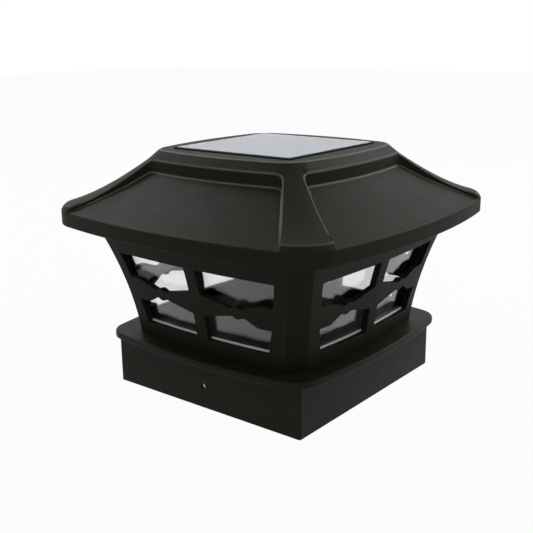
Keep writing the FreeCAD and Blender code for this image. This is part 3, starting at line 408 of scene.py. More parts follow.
def panel_cover(name):
    """Clear cover of the solar panel, with a soft satin face; its blue specular tint is a painted reflection of a
    blue sky.
    """
    mix = Mix(name)
    haze = mix.noise(scale=900.0, detail=3.0, roughness=0.6)
    smear = mix.noise(scale=45.0, detail=3.0, roughness=0.55)
    return mix.finish({
        "Base Color": mix.blend(smear, (0.80, 0.88, 0.96, 1.0), (0.88, 0.94, 1.0, 1.0)),
        "Roughness": 0.19 + 0.07 * haze + 0.05 * smear,
        "Normal": mix.bump(haze, strength=0.05, depth=0.0001),
        "Transmission Weight": 1.0,
        "IOR": 1.38,
        "Specular IOR Level": 0.4,
        # Painted reflection: the blue specular tint gives the cover's reflections the colour of a sky.
        "Specular Tint": (0.80, 0.90, 1.0, 1.0),
    })


def solar_cell(name):
    """Polycrystalline silicon: angular grains in blue grey."""
    colour = finish_settings().cell_colour
    mix = Mix(name)
    crystal = mix.node("ShaderNodeTexVoronoi", None, {"Vector": mix.place(), "Scale": 260.0})["Color"]
    grains = mix.node("ShaderNodeSeparateColor", None, {0: crystal})[0]
    return mix.finish({
        "Base Color": mix.blend(grains, shade(colour, 0.80), shade(colour, 1.15)),
        "Roughness": 0.22 + 0.12 * grains,
        "Metallic": 0.25 + 0.1 * grains,
        "Normal": mix.bump(grains, strength=0.1, depth=0.0001),
    })


def plain_plastic(name, colour, roughness):
    """Moulded or laminated plastic in one colour, with a fine grain."""
    mix = Mix(name)
    grain = mix.noise(scale=1800.0, detail=3.0, roughness=0.55)
    cloud = mix.noise(scale=40.0, detail=2.0, roughness=0.5)
    return mix.finish({
        "Base Color": mix.blend(cloud, shade(colour, 0.90), shade(colour, 1.08)),
        "Roughness": roughness - 0.04 + 0.08 * grain,
        "Normal": mix.bump(grain, strength=0.25, depth=0.00005),
    })


def circuit_board(name):
    """Green board with faint copper tracks under the lacquer."""
    mix = Mix(name)
    wave = mix.node("ShaderNodeTexWave", {"bands_direction": "X"}, {
        "Vector": mix.place(), "Scale": 95.0, "Distortion": 3.0, "Detail": 0.0})["Fac"]
    track = wave.within(0.55, 0.62)
    return mix.finish({
        "Base Color": mix.blend(track, (0.012, 0.085, 0.035, 1.0), (0.03, 0.16, 0.07, 1.0)),
        "Roughness": 0.30 + 0.08 * mix.noise(scale=500.0),
        "Normal": mix.bump(track, strength=0.4, depth=0.00004),
        "Coat Weight": 0.4,
    })


def brushed_steel(name):
    """Plated steel with fine turning marks and a duller tone in places."""
    colour = finish_settings().steel
    mix = Mix(name)
    mark = mix.noise(scale=900.0, detail=4.0, roughness=0.7)
    dull = mix.noise(scale=120.0, detail=3.0, roughness=0.5)
    return mix.finish({
        "Base Color": mix.blend(dull, shade(colour, 0.78), shade(colour, 1.05)),
        "Roughness": 0.26 + 0.16 * dull + 0.06 * mark,
        "Metallic": 1.0,
        "Normal": mix.bump(mark, strength=0.2, depth=0.00003),
    })


def frosted_diffuser(name):
    """Frosted plastic cup under the lamps."""
    mix = Mix(name)
    frost = mix.noise(scale=2200.0, detail=3.0, roughness=0.6)
    return mix.finish({
        "Base Color": mix.blend(frost, (0.86, 0.86, 0.83, 1.0), (0.93, 0.93, 0.90, 1.0)),
        "Roughness": 0.35 + 0.2 * frost,
        "Normal": mix.bump(frost, strength=0.3, depth=0.00006),
        "Transmission Weight": 0.6,
        "IOR": 1.49,
    })


def clear_sealant(name):
    """Milky sealant along the foot of a pane."""
    mix = Mix(name)
    milk = mix.noise(scale=300.0, detail=3.0, roughness=0.6)
    return mix.finish({
        "Base Color": mix.blend(milk, (0.72, 0.72, 0.70, 1.0), (0.92, 0.92, 0.90, 1.0)),
        "Roughness": 0.18 + 0.15 * milk,
        "Normal": mix.bump(milk, strength=0.2, depth=0.0002),
    })


def lamp_dome(name):
    """Warm white lamp: phosphor glow in clear resin."""
    mix = Mix(name)
    depth = mix.noise(scale=700.0, detail=2.0, roughness=0.5)
    return mix.finish({
        "Base Color": mix.blend(depth, (0.90, 0.80, 0.45, 1.0), (0.96, 0.90, 0.66, 1.0)),
        "Roughness": 0.10 + 0.08 * depth,
        "Transmission Weight": 0.4,
        "IOR": 1.5,
    })


def battery_sleeve(name):
    """Plain green sleeve with a pale ring at the positive end."""
    mix = Mix(name)
    ring = mix.axis("Y").within(0.0190, 0.0192)
    scuff = mix.noise(scale=350.0, detail=4.0, roughness=0.65)
    return mix.finish({
        "Base Color": mix.blend(ring, (0.03, 0.20, 0.09, 1.0), (0.70, 0.70, 0.67, 1.0)),
        "Roughness": 0.28 + 0.18 * scuff,
        "Metallic": 0.15 + 0.55 * ring,
        "Normal": mix.bump(scuff, strength=0.15, depth=0.00004),
    })


def lead_skin(name):
    """Insulated leads: red on one side of the pair, black on the other."""
    mix = Mix(name)
    red = mix.axis("Y") > 0.0
    skin = mix.noise(scale=1500.0, detail=3.0, roughness=0.5)
    return mix.finish({
        "Base Color": mix.blend(red, (0.02, 0.02, 0.02, 1.0), (0.42, 0.02, 0.02, 1.0)),
        "Roughness": 0.38 + 0.12 * skin,
        "Normal": mix.bump(skin, strength=0.2, depth=0.00004),
    })


def foam(name):
    """Closed-cell foam of the panel seal, and the black of the bead round the cover that paints the shadow of its
    gap.
    """
    mix = Mix(name)
    cell = mix.cells(scale=2600.0)
    return mix.finish({
        "Base Color": mix.blend(cell, (0.012, 0.012, 0.012, 1.0), (0.035, 0.035, 0.034, 1.0)),
        "Roughness": 0.85 + 0.1 * cell,
        "Normal": mix.bump(cell, strength=0.6, depth=0.0002),
        "Specular IOR Level": 0.08,
    })


# ------------------------------------------------------------ mesh helpers

def finished(mesh, body, nodes, material):
    """Set a mesh down as a piece that rides on a body and stands for CAD nodes."""
    piece = bpy.data.objects.new(mesh.name, mesh)
    bpy.context.collection.objects.link(piece)
    mesh.materials.clear()
    mesh.materials.append(material)
    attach(piece, body)
    if nodes:
        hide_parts(*nodes)


def smooth_by_angle(mesh, degrees):
    """Smooth faces, with a crease where two of them turn by more than an angle."""
    mesh.polygons.foreach_set("use_smooth", [True] * len(mesh.polygons))
    work = bmesh.new()
    work.from_mesh(mesh)
    limit = math.radians(degrees)
    for edge in work.edges:
        edge.smooth = len(edge.link_faces) == 2 and edge.calc_face_angle(0.0) < limit
    work.to_mesh(mesh)
    work.free()


def merged_copy(node, name):
    """Copy of a CAD node's mesh with its loose triangles joined into flat faces."""
    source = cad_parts[node].data
    mesh = bpy.data.meshes.new(name)
    mesh.from_pydata([vertex.co for vertex in source.vertices], [], [face.vertices for face in source.polygons])
    work = bmesh.new()
    work.from_mesh(mesh)
    bmesh.ops.remove_doubles(work, verts=work.verts, dist=WELD)
    bmesh.ops.dissolve_degenerate(work, edges=work.edges, dist=SLIVER)
    bmesh.ops.dissolve_limit(
        work, angle_limit=math.radians(FLAT_ANGLE), verts=work.verts, edges=work.edges, delimit=set())
    work.to_mesh(mesh)
    work.free()
    return mesh


def rounded(mesh, width):
    """Mesh with its sharp edges rounded; the roundings come out as a second material for mark_edges."""
    name = mesh.name
    mesh.polygons.foreach_set("use_smooth", [True] * len(mesh.polygons))
    mesh.materials.append(None)
    mesh.materials.append(None)
    carrier = bpy.data.objects.new(name + "_carrier", mesh)
    bpy.context.collection.objects.link(carrier)
    bevel = carrier.modifiers.new("Round", "BEVEL")
    bevel.width = width
    bevel.segments = ROUND_SEGMENTS
    bevel.limit_method = "ANGLE"
    bevel.angle_limit = math.radians(SHARP_ANGLE)
    bevel.use_clamp_overlap = False
    bevel.harden_normals = True
    bevel.material = 1
    graph = bpy.context.evaluated_depsgraph_get()
    made = bpy.data.meshes.new_from_object(carrier.evaluated_get(graph))
    carrier.modifiers.clear()
    bpy.data.objects.remove(carrier)
    bpy.data.meshes.remove(mesh)
    made.name = name
    mark_edges(made)
    return made


def mark_edges(mesh):
    """Turn the faces of the rounding into an attribute that is 1 along the middle of an edge; the painted edge
    highlight reads it.
    """
    highlight_share = [1.0] * len(mesh.vertices)
    for face in mesh.polygons:
        if face.material_index == 0:
            for index in face.vertices:
                highlight_share[index] = 0.0
        face.material_index = 0
    mesh.attributes.new(EDGE, "FLOAT", "POINT").data.foreach_set("value", highlight_share)


def dress(node, material):
    """Give a CAD node its finish."""
    mesh_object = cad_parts[node]
    if not mesh_object.material_slots:
        mesh_object.data.materials.append(material)
    for slot in mesh_object.material_slots:
        slot.material = material


def turned(name, profile):
    """Closed form turned about Z from (radius, level) points in millimetres that start and end on the axis."""
    facets = shape_settings().facets
    work = bmesh.new()
    rings = []
    for radius, level in profile:
        count = facets if radius else 1
        rings.append([work.verts.new((
            radius * MILLIMETRE * math.cos(math.tau * turn / facets),
            radius * MILLIMETRE * math.sin(math.tau * turn / facets),
            level * MILLIMETRE)) for turn in range(count)])
    for low, high in zip(rings, rings[1:]):
        for turn in range(facets):
            corners = []
            for ring, step in ((low, turn), (low, turn + 1), (high, turn + 1), (high, turn)):
                corner = ring[step % len(ring)]
                if corner not in corners:
                    corners.append(corner)
            work.faces.new(corners)
    bmesh.ops.recalc_face_normals(work, faces=work.faces)
    mesh = bpy.data.meshes.new(name)
    work.to_mesh(mesh)
    work.free()
    return mesh


def cross_cut(mesh, reach, width, low, high):
    """Cut a driver cross into a mesh between two levels; reach and width are half sizes, in millimetres."""
    for x, y in ((reach, width), (width, reach)):
        box = bpy.data.meshes.new("driver")
        corners = [(a * x, b * y, c) for c in (low, high) for a, b in ((-1, -1), (1, -1), (1, 1), (-1, 1))]
        box.from_pydata([Vector(corner) * MILLIMETRE for corner in corners], [], [
            (3, 2, 1, 0), (4, 5, 6, 7), (0, 1, 5, 4), (1, 2, 6, 5), (2, 3, 7, 6), (3, 0, 4, 7)])
        driver = bpy.data.objects.new("driver", box)
        carrier = bpy.data.objects.new("carrier", mesh)
        for made in (driver, carrier):
            bpy.context.collection.objects.link(made)
        cutter = carrier.modifiers.new("Cross", "BOOLEAN")
        cutter.operation = "DIFFERENCE"
        cutter.object = driver
        graph = bpy.context.evaluated_depsgraph_get()
        mesh = bpy.data.meshes.new_from_object(carrier.evaluated_get(graph))
        carrier.modifiers.clear()
        bpy.data.objects.remove(carrier)
        bpy.data.objects.remove(driver)
    return mesh


# ------------------------------------------------------------ geometry nodes

def at_corners():
    """Tree that sets an item at the four corners of a square."""
    grow = Growth("at_corners", [("Item", "Object"), ("Spread", "Float")])
    side = grow.inputs["Spread"] * 2
    square = grow.node("GeometryNodeMeshGrid", None, {
        "Size X": side, "Size Y": side, "Vertices X": 2, "Vertices Y": 2})["Mesh"]
    return grow.end(grow.repeat(square, grow.given_item()))


def round_a_ring():
    """Tree that sets an item evenly round a ring."""
    grow = Growth("round_a_ring", [("Item", "Object"), ("Count", "Int"), ("Radius", "Float")])
    ring = grow.node("GeometryNodeMeshCircle", None, {
        "Vertices": grow.inputs["Count"], "Radius": grow.inputs["Radius"]})["Mesh"]
    return grow.end(grow.repeat(ring, grow.given_item()))


def flat_array():
    """Tree that repeats a bar both ways in a flat array."""
    grow = Growth("flat_array", [
        ("Across", "Int"), ("Along", "Int"), ("Pitch Across", "Float"), ("Pitch Along", "Float"),
        ("Bar Size", "Vector"), ("Level", "Float")])
    bar = grow.node("GeometryNodeMeshCube", None, {"Size": grow.inputs["Bar Size"]})["Mesh"]
    column = grow.repeat(grow.row(grow.inputs["Along"], grow.inputs["Pitch Along"], "y"), bar)
    field = grow.repeat(grow.row(grow.inputs["Across"], grow.inputs["Pitch Across"], "x"), column)
    level = grow.vector(z=grow.inputs["Level"])
    return grow.end(grow.node("GeometryNodeTransform", None, {"Geometry": field, "Translation": level}).first)


def foot_beads():
    """Tree that lays a bead along the bowed foot of two windows, on each of the four sides."""
    grow = Growth("foot_beads", [
        ("Near", "Float"), ("Far", "Float"), ("Depth Near", "Float"), ("Depth Far", "Float"),
        ("Level", "Float"), ("Radius", "Float"), ("Points", "Int")])
    near, far = grow.inputs["Near"], grow.inputs["Far"]
    runs = [grow.node("GeometryNodeCurvePrimitiveLine", None, {
        "Start": grow.vector(x=near * way), "End": grow.vector(x=far * way)})["Curve"] for way in (1.0, -1.0)]
    run = grow.node("GeometryNodeResampleCurve", None, {
        "Curve": grow.join(*runs), "Count": grow.inputs["Points"]})["Curve"]
    x = grow.node("ShaderNodeSeparateXYZ", None, {0: grow.node("GeometryNodeInputPosition").first})["X"]
    bow = (grow.inputs["Depth Near"] - grow.inputs["Depth Far"]) / (far * far - near * near)
    depth = grow.inputs["Depth Near"] - bow * (x * x - near * near)
    bent = grow.node("GeometryNodeSetPosition", None, {
        "Geometry": run, "Position": grow.vector(x, depth * -1.0, grow.inputs["Level"])})["Geometry"]
    section = grow.node("GeometryNodeCurvePrimitiveCircle", None, {
        "Resolution": 10, "Radius": grow.inputs["Radius"]})["Curve"]
    bead = grow.node("GeometryNodeCurveToMesh", None, {
        "Curve": bent, "Profile Curve": section, "Fill Caps": True})["Mesh"]
    return grow.end(grow.on_four_sides(bead))


def bowed_panes():
    """Tree that bends a sheet to the lantern's flare and bow and thickens it, on each of the four sides."""
    grow = Growth("bowed_panes", [("Columns", "Int"), ("Rows", "Int")] + [(label, "Float") for label in (
        "Low", "High", "Reach Low", "Reach High", "Inset", "Thickness", "Frame Level", "Frame Height",
        "Frame Foot", "Frame Slope", "Frame Curve", "Frame Bulge", "Frame Chamfer")])
    size = grow.inputs
    sheet = grow.node("GeometryNodeMeshGrid", None, {
        "Size X": 2.0, "Size Y": 1.0, "Vertices X": size["Columns"], "Vertices Y": size["Rows"]})["Mesh"]
    spot = grow.node("ShaderNodeSeparateXYZ", None, {0: grow.node("GeometryNodeInputPosition").first})
    up = spot["Y"] + 0.5
    level = size["Low"] + up * (size["High"] - size["Low"])
    x = spot["X"] * (size["Reach Low"] + up * (size["Reach High"] - size["Reach Low"]))
    share = (level - size["Frame Level"]) / size["Frame Height"]
    half = size["Frame Foot"] + size["Frame Slope"] * share + size["Frame Curve"] * share ** 2
    span = half - size["Frame Chamfer"]
    radius = (span ** 2 + size["Frame Bulge"] ** 2) / (2 * size["Frame Bulge"])
    sag = radius - (radius ** 2 - x ** 2) ** 0.5
    depth = half + size["Frame Bulge"] - size["Inset"] - sag
    outside = grow.node("GeometryNodeSetPosition", None, {
        "Geometry": sheet, "Position": grow.vector(x, depth * -1.0, level)})["Geometry"]
    slab = grow.node("GeometryNodeExtrudeMesh", {"mode": "FACES"}, {
        "Mesh": outside, "Offset": grow.vector(y=size["Thickness"]), "Offset Scale": 1.0,
        "Individual": False})["Mesh"]
    return grow.end(grow.on_four_sides(grow.join(outside, slab)))


def square_bead():
    """Tree that runs a bead along a square path with rounded corners."""
    grow = Growth("square_bead", [
        ("Half", "Float"), ("Corner", "Float"), ("Level", "Float"), ("Section", "Vector")])
    side = grow.inputs["Half"] * 2
    square = grow.node("GeometryNodeCurvePrimitiveQuadrilateral", None, {"Width": side, "Height": side})["Curve"]
    path = grow.node("GeometryNodeFilletCurve", {"mode": "POLY"}, {
        "Curve": square, "Radius": grow.inputs["Corner"], "Count": 6})["Curve"]
    circle = grow.node("GeometryNodeCurvePrimitiveCircle", None, {"Resolution": 16, "Radius": 1.0})["Curve"]
    section = grow.node("GeometryNodeTransform", None, {"Geometry": circle, "Scale": grow.inputs["Section"]}).first
    bead = grow.node("GeometryNodeCurveToMesh", None, {"Curve": path, "Profile Curve": section})["Mesh"]
    level = grow.vector(z=grow.inputs["Level"])
    return grow.end(grow.node("GeometryNodeTransform", None, {"Geometry": bead, "Translation": level}).first)


def grown(name, tree, values, degrees=35.0):
    """Run a geometry tree on an empty mesh and keep its result as a plain mesh, creased by angle."""
    carrier = bpy.data.objects.new(name + "_carrier", bpy.data.meshes.new(name + "_carrier"))
    bpy.context.collection.objects.link(carrier)
    modifier = carrier.modifiers.new("Grow", "NODES")
    modifier.node_group = tree
    for item in tree.interface.items_tree:
        if item.in_out == "INPUT":
            modifier[item.identifier] = values[item.name]
    graph = bpy.context.evaluated_depsgraph_get()
    mesh = bpy.data.meshes.new_from_object(carrier.evaluated_get(graph))
    mesh.name = name
    carrier.modifiers.remove(modifier)
    bpy.data.objects.remove(carrier)
    if not mesh.polygons:
        raise RuntimeError(name + ": the tree made no faces")
    work = bmesh.new()
    work.from_mesh(mesh)
    bmesh.ops.remove_doubles(work, verts=work.verts, dist=SLIVER)
    bmesh.ops.recalc_face_normals(work, faces=work.faces)
    work.to_mesh(mesh)
    work.free()
    smooth_by_angle(mesh, degrees)
    return mesh


def repeated(name, item_mesh, tree, values):
    """Mesh of an item that a tree repeats."""
    item = bpy.data.objects.new(name + "_item", item_mesh)
    bpy.context.collection.objects.link(item)
    mesh = grown(name, tree, {"Item": item, **values})
    bpy.data.objects.remove(item)
    return mesh


# ------------------------------------------------------------ operators

class POSTLIGHT_OT_roof(bpy.types.Operator):
    """Make the hipped roof with its sunk panels, ribs and crown"""
    bl_idname = "postlight.roof"
    bl_label = "Roof"

    def execute(self, context):
        shell = rounded(merged_copy("roof_cap", "roof_shell"), shape_settings().roof_edge)
        black = moulded_black("moulded_black_roof", highlight_share=1.1, highlight_between=HIGHLIGHT_AT_CROWN)
        finished(shell, "head", ["roof_cap"], black)
        return {"FINISHED"}


class POSTLIGHT_OT_lantern(bpy.types.Operator):
    """Make the flared lantern frame, its floor, the clear panes and the sealant at their feet"""
    bl_idname = "postlight.lantern"
    bl_label = "Lantern"

    def execute(self, context):
        shape = shape_settings()
        black = moulded_black("moulded_black_lantern", highlight_share=0.08)
        cage = rounded(merged_copy("lantern_frame", "lantern_cage"), shape.body_edge)
        finished(cage, "lantern", ["lantern_frame"], black)
        dress("lantern_floor", black)
        clear = clear_pane("clear_pane")
        bend = bowed_panes()
        for name, sheet, nodes in (
                ("window_panes", PANE, ["pane_front", "pane_right", "pane_back", "pane_left"]),
                ("pane_feet", PANE_FOOT, [])):
            values = {label: size * MILLIMETRE for label, size in {**FRAME, **sheet}.items()}
            panes = grown(name, bend, {"Columns": PANE_COLUMNS, "Rows": PANE_ROWS, "Finish": clear, **values})
            finished(rounded(panes, shape.pane_edge), "lantern", nodes, clear)
        near, far, sill = (size * MILLIMETRE for size in (WINDOW_NEAR, WINDOW_FAR, WINDOW_SILL))
        level = sill + shape.bead
        depths = [pane_depth(x, level) + shape.bead for x in (near, far)]
        sealant = clear_sealant("clear_sealant")
        beads = grown("sealant_beads", foot_beads(), {
            "Near": near, "Far": far, "Depth Near": depths[0], "Depth Far": depths[1], "Level": level,
            "Radius": shape.bead, "Points": 14, "Finish": sealant}, degrees=60.0)
        finished(beads, "lantern", [], sealant)
        return {"FINISHED"}


def pane_depth(x, level):
    """How far the outer face of the front pane stands from the middle, read from the CAD pane."""
    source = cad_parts["pane_front"].data
    tree = BVHTree.FromPolygons(
        [vertex.co for vertex in source.vertices], [face.vertices for face in source.polygons])
    place = tree.ray_cast(Vector((x, -1.0, level)), Vector((0, 1, 0)))[0]
    return -place.y


class POSTLIGHT_OT_base(bpy.types.Operator):
    """Make the skirt and flange that drop over the post, with the screws under the deck"""
    bl_idname = "postlight.base"
    bl_label = "Base"

    def execute(self, context):
        skirt = rounded(merged_copy("post_base", "base_shell"), shape_settings().body_edge)
        black = moulded_black("moulded_black_base", highlight_share=0.4, roughness=0.42, gloss=0.07)
        finished(skirt, "lantern", ["post_base"], black)
        steel = brushed_steel("plated_steel_base")
        screws = repeated("deck_screws", countersunk_screw(DECK_SCREW_LEVEL), at_corners(), {
            "Spread": BOSS_PLACE * MILLIMETRE, "Finish": steel})
        finished(screws, "lantern", ["base_screws"], steel)
        return {"FINISHED"}


def countersunk_screw(level):
    """Self-tapping screw with its head down, with a driver cross and rolled ridges."""
    radius, root, tip, ridge, flank = 1.5, 1.22, 0.4, 1.0, 0.35
    head, chamfer, sink = 3.2, 0.2, 1.8
    profile = [(0, level), (head - chamfer, level), (head, level + chamfer), (radius, level + sink)]
    start, top = level + sink + ridge, level + SCREW_LENGTH
    for index in range(int((top - radius - start) / ridge)):
        foot = start + index * ridge
        profile += [(radius, foot), (root, foot + ridge * flank), (root, foot + ridge * (1 - flank))]
    profile += [(radius, top - radius), (tip, top), (0, top)]
    return cross_cut(turned("screw", profile), reach=1.9, width=0.4, low=level - 1, high=level + 0.7)


class POSTLIGHT_OT_panel(bpy.types.Operator):
    """Make the solar panel: clear cover, cells with their contact fingers, board, seal, and a black bead round the
    cover as painted shadow of its gap
    """
    bl_idname = "postlight.panel"
    bl_label = "Solar panel"

    def execute(self, context):
        shape = shape_settings()
        cover = rounded(merged_copy("solar_cover", "panel_glass"), shape.pane_edge)
        finished(cover, "head", ["solar_cover"], panel_cover("panel_cover"))
        silicon = solar_cell("solar_cell")
        low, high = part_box("solar_cells")
        span = high[0] - low[0]
        pitch = (span + CELL_GAP) / CELL_COUNT
        thickness = high[2] - low[2] - CELL_CLEARANCE
        cells = grown("silicon_cells", flat_array(), {
            "Across": CELL_COUNT, "Along": 1, "Pitch Across": pitch, "Pitch Along": 0.0,
            "Bar Size": (pitch - CELL_GAP, span, thickness), "Level": low[2] + thickness / 2, "Finish": silicon})
        finished(cells, "head", ["solar_cells"], silicon)
        silver = brushed_steel("printed_silver")
        fingers = grown("contact_fingers", flat_array(), {
            "Across": CELL_COUNT, "Along": int(span / shape.finger_pitch), "Pitch Across": pitch,
            "Pitch Along": shape.finger_pitch,
            "Bar Size": (pitch - 2 * CELL_GAP, FINGER_WIDTH, FINGER_HEIGHT),
            "Level": low[2] + thickness + FINGER_HEIGHT / 2, "Finish": silver})
        finished(fingers, "head", [], silver)
        # Painted shadow: a black bead round the cover stands for the shade in the gap at its edge.
        gap_shadow_finish = foam("black_silicone")
        bead = grown("panel_bead", square_bead(), {
            "Half": high[0] + PANEL_BEAD_OUT, "Corner": PANEL_BEAD_CORNER,
            "Level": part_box("solar_cover")[0][2] + PANEL_BEAD_LIFT, "Section": PANEL_BEAD_SECTION,
            "Finish": gap_shadow_finish}, degrees=60.0)
        finished(bead, "head", [], gap_shadow_finish)
        dress("solar_backing", plain_plastic("pale_laminate", (0.27, 0.31, 0.36), 0.35))
        dress("panel_seal", foam("seal_foam"))
        return {"FINISHED"}


class POSTLIGHT_OT_works(bpy.types.Operator):
    """Make the works under the roof: plate, board, lamps, battery and switch"""
    bl_idname = "postlight.works"
    bl_label = "Works"

    def execute(self, context):
        steel = brushed_steel("plated_steel")
        edge = shape_settings().pane_edge
        for node, name, slot in (
                ("head_plate", "underside_plate", "housing"),
                ("battery_box", "battery_case", "housing"),
                ("battery_door", "battery_lid", "housing")):
            body = "battery_door" if node == "battery_door" else "head"
            finished(rounded(merged_copy(node, name), edge), body, [node],
                     moulded_black("moulded_black_" + name, highlight_share=0.3))
        dress("circuit_board", circuit_board("lacquered_board"))
        lamp = lamp_dome("lamp_dome")
        lamps = repeated("warm_lamps", lamp_form(), round_a_ring(), {
            "Count": LAMP_COUNT, "Radius": LAMP_RING * MILLIMETRE, "Finish": lamp})
        finished(lamps, "head", ["leds"], lamp)
        cup = diffuser_form("ribbed_diffuser")
        smooth_by_angle(cup, degrees=28.0)
        finished(cup, "head", ["led_diffuser"], frosted_diffuser("frosted_diffuser"))
        dress("aa_battery", battery_sleeve("battery_sleeve"))
        for node in ("contact_plus", "contact_minus", "hinge_pin"):
            dress(node, steel)
        for name, item, spread, node in (
                ("lid_screws", countersunk_screw(LID_SCREW_LEVEL), LID_BOSS_PLACE, "head_screws"),
                ("pan_screws", pan_screw(), STANDOFF_PLACE, "board_screws")):
            screws = repeated(name, item, at_corners(), {"Spread": spread * MILLIMETRE, "Finish": steel})
            finished(screws, "head", [node], steel)
        dress("switch_body", plain_plastic("switch_black", (0.02, 0.02, 0.02), 0.4))
        slider = plain_plastic("slider_grey", (0.62, 0.62, 0.60), 0.4)
        finished(rounded(merged_copy("switch_slider", "slider_stem"), edge), "switch_slider", ["switch_slider"],
                 slider)
        leads = lead_skin("lead_skin")
        for node in ("panel_leads", "battery_leads", "switch_leads"):
            dress(node, leads)
        return {"FINISHED"}


def lamp_form():
    """One lamp, dome down, with the flange at its top."""
    radius, centre, steps = 2.5, 110.5, 8
    flange, top, flange_height, step = 2.75, 117.0, 0.9, 0.1
    dome = [(0, centre - radius)]
    for index in range(1, steps + 1):
        angle = math.pi / 2 * index / steps
        dome.append((radius * math.sin(angle), centre - radius * math.cos(angle)))
    shoulder = top - flange_height
    return turned("lamp", dome + [(radius, shoulder - step), (flange, shoulder), (flange, top), (0, top)])


def pan_screw():
    """Short pan-head screw of the circuit board, head up, with a driver cross."""
    radius, length, point, taper = 1.0, 5.2, 0.7, 0.4
    seat, head, rim, shoulder, shoulder_rise, crown, cap = 118.6, 2.0, 0.4, 1.85, 0.8, 1.3, 1.2
    tip, top = seat - length, seat + cap
    profile = [
        (0, tip), (point, tip), (radius, tip + taper), (radius, seat), (head, seat), (head, seat + rim),
        (shoulder, seat + shoulder_rise), (crown, top), (0, top)]
    return cross_cut(turned("screw", profile), reach=0.8, width=0.3, low=top - 0.6, high=top + 1)


def diffuser_form(name):
    """Shallow frosted cup with prism rings pressed into its face."""
    radius, wall, face, rim = 20.0, 1.8, 103.5, 109.5
    ring, deep, flank, corner, cut = 1.5, 0.45, 0.2, 1.0, 0.3
    profile = [(0, face)]
    for index in range(int((radius - 2 * ring) / ring)):
        foot = ring * (index + 1)
        profile += [(foot - flank, face), (foot, face + deep)]
    profile += [
        (radius - corner, face), (radius - cut, face + cut), (radius, face + corner), (radius, rim),
        (radius - wall, rim), (radius - wall, face + wall), (0, face + wall)]
    return turned(name, profile)


def studio_floor_material():
    """Pale floor that shows white to the camera, keeps its shadow, has a painted shade under the post and is clear
    from below.
    """
    mix = Mix("studio_floor")
    cloth = mix.noise(scale=3.0, detail=2.0, roughness=0.5)
    shader = mix.node("ShaderNodeBsdfPrincipled", None, {
        "Base Color": mix.blend(cloth, (0.50, 0.50, 0.50, 1.0), (0.54, 0.54, 0.54, 1.0)),
        "Roughness": 0.9 + 0.02 * cloth,
        "Specular IOR Level": 0.0,
    })
    white = mix.node("ShaderNodeEmission", None, {"Color": (1.0, 1.0, 1.0, 1.0), "Strength": 1.0})
    # Painted shade: inside the skirt the floor's white is cut back, as if shaded by the post.
    under_post = (abs(mix.axis("X")) < UNDER_SKIRT) * (abs(mix.axis("Y")) < UNDER_SKIRT)
    share = mix.seen() * FLOOR_WHITE * (1 - SKIRT_PAINTED_SHADE * under_post)
    surface = mix.node("ShaderNodeMixShader", None, {0: share, 1: shader["BSDF"], 2: white["Emission"]})
    below = mix.node("ShaderNodeNewGeometry")["Backfacing"]
    clear = mix.node("ShaderNodeBsdfTransparent")
    sided = mix.node("ShaderNodeMixShader", None, {0: below, 1: surface["Shader"], 2: clear["BSDF"]})
    mix.node("ShaderNodeOutputMaterial", None, {"Surface": sided["Shader"]})
    return mix.material


def studio_world():
    """Soft surround for the object; what is seen of it, straight, mirrored or through glass, is white."""
    world = bpy.data.worlds.new("studio_world")
    mix = Mix(world)
    soft = mix.node("ShaderNodeBackground", None, {"Color": (0.84, 0.84, 0.82, 1.0), "Strength": 0.45})
    white = mix.node("ShaderNodeBackground", None, {"Color": (1.0, 1.0, 1.0, 1.0), "Strength": 1.0})
    choice = mix.node("ShaderNodeMixShader", None, {0: mix.seen(), 1: soft["Background"], 2: white["Background"]})
    mix.node("ShaderNodeOutputWorld", None, {"Surface": choice["Shader"]})
    return world


def area_lamp(name, place, power):
    """White square lamp aimed at the middle of the object."""
    data = bpy.data.lights.new(name, "AREA")
    data.shape = "SQUARE"
    data.size = LAMP_SIZE
    data.energy = power
    lamp = bpy.data.objects.new(name, data)
    bpy.context.collection.objects.link(lamp)
    lamp.location = place
    lamp.rotation_euler = (Vector(LAMP_AIM) - Vector(place)).to_track_quat("-Z", "Y").to_euler()


def photo_camera(lens):
    """Camera at the viewing angle of the photograph."""
    data = bpy.data.cameras.new("photo_camera")
    data.sensor_width = SENSOR_WIDTH
    data.lens = lens
    data.clip_start = 0.01
    camera = bpy.data.objects.new("photo_camera", data)
    bpy.context.collection.objects.link(camera)
    right, down, ahead = (Vector(axis) for axis in (CAMERA_RIGHT, CAMERA_DOWN, CAMERA_AHEAD))
    turn = Matrix((right, -down, -ahead)).transposed()
    camera.matrix_world = Matrix.Translation(CAMERA_PLACE) @ turn.to_4x4()
    return camera


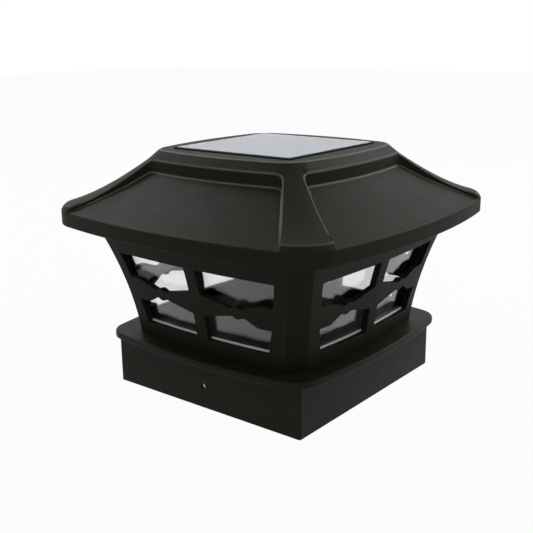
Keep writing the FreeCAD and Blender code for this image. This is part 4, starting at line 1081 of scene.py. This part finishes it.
class POSTLIGHT_OT_stage(bpy.types.Operator):
    """Set the floor, the soft lamps, the white surround and the camera"""
    bl_idname = "postlight.stage"
    bl_label = "Stage"

    def execute(self, context):
        stage = stage_settings()
        floor_mesh = bpy.data.meshes.new("studio_floor")
        half = stage.floor_size / 2
        corners = [(x * half, y * half, FLOOR_LEVEL) for x, y in ((-1, -1), (1, -1), (1, 1), (-1, 1))]
        floor_mesh.from_pydata(corners, [], [(0, 1, 2, 3)])
        floor = bpy.data.objects.new("studio_floor", floor_mesh)
        context.collection.objects.link(floor)
        floor_mesh.materials.append(studio_floor_material())
        context.scene.world = studio_world()
        area_lamp("back_lamp", BACK_LAMP_PLACE, stage.key_power)
        area_lamp("left_lamp", LEFT_LAMP_PLACE, stage.key_power * LEFT_LAMP_SHARE)
        context.scene.camera = photo_camera(stage.lens)
        context.scene.view_settings.view_transform = "Standard"
        return {"FINISHED"}


class POSTLIGHT_PT_sidebar(bpy.types.Panel):
    """List of the light's settings and pieces"""
    bl_label = "Post Cap Light"
    bl_idname = "POSTLIGHT_PT_sidebar"
    bl_space_type = "VIEW_3D"
    bl_region_type = "UI"
    bl_category = "Post Cap Light"

    def draw(self, context):
        for name, group in GROUPS:
            box = self.layout.box()
            for key in group.__annotations__:
                box.prop(getattr(context.scene, name), key)
        for operator in PIECES:
            self.layout.operator(operator.bl_idname)


GROUPS = (
    ("post_light_shape", ShapeSettings),
    ("post_light_finish", FinishSettings),
    ("post_light_stage", StageSettings),
)
PIECES = (
    POSTLIGHT_OT_roof,
    POSTLIGHT_OT_lantern,
    POSTLIGHT_OT_base,
    POSTLIGHT_OT_panel,
    POSTLIGHT_OT_works,
    POSTLIGHT_OT_stage,
)


def register():
    for name, group in GROUPS:
        bpy.utils.register_class(group)
        setattr(bpy.types.Scene, name, bpy.props.PointerProperty(type=group))
    for operator in PIECES:
        bpy.utils.register_class(operator)
    bpy.utils.register_class(POSTLIGHT_PT_sidebar)


def unregister():
    bpy.utils.unregister_class(POSTLIGHT_PT_sidebar)
    for operator in reversed(PIECES):
        bpy.utils.unregister_class(operator)
    for name, group in reversed(GROUPS):
        delattr(bpy.types.Scene, name)
        bpy.utils.unregister_class(group)


def main():
    register()
    for operator in PIECES:
        group, action = operator.bl_idname.split(".")
        result = getattr(getattr(bpy.ops, group), action)()
        if result != {"FINISHED"}:
            raise RuntimeError(operator.bl_label + " did not finish")


if __name__ == "__main__":
    main()
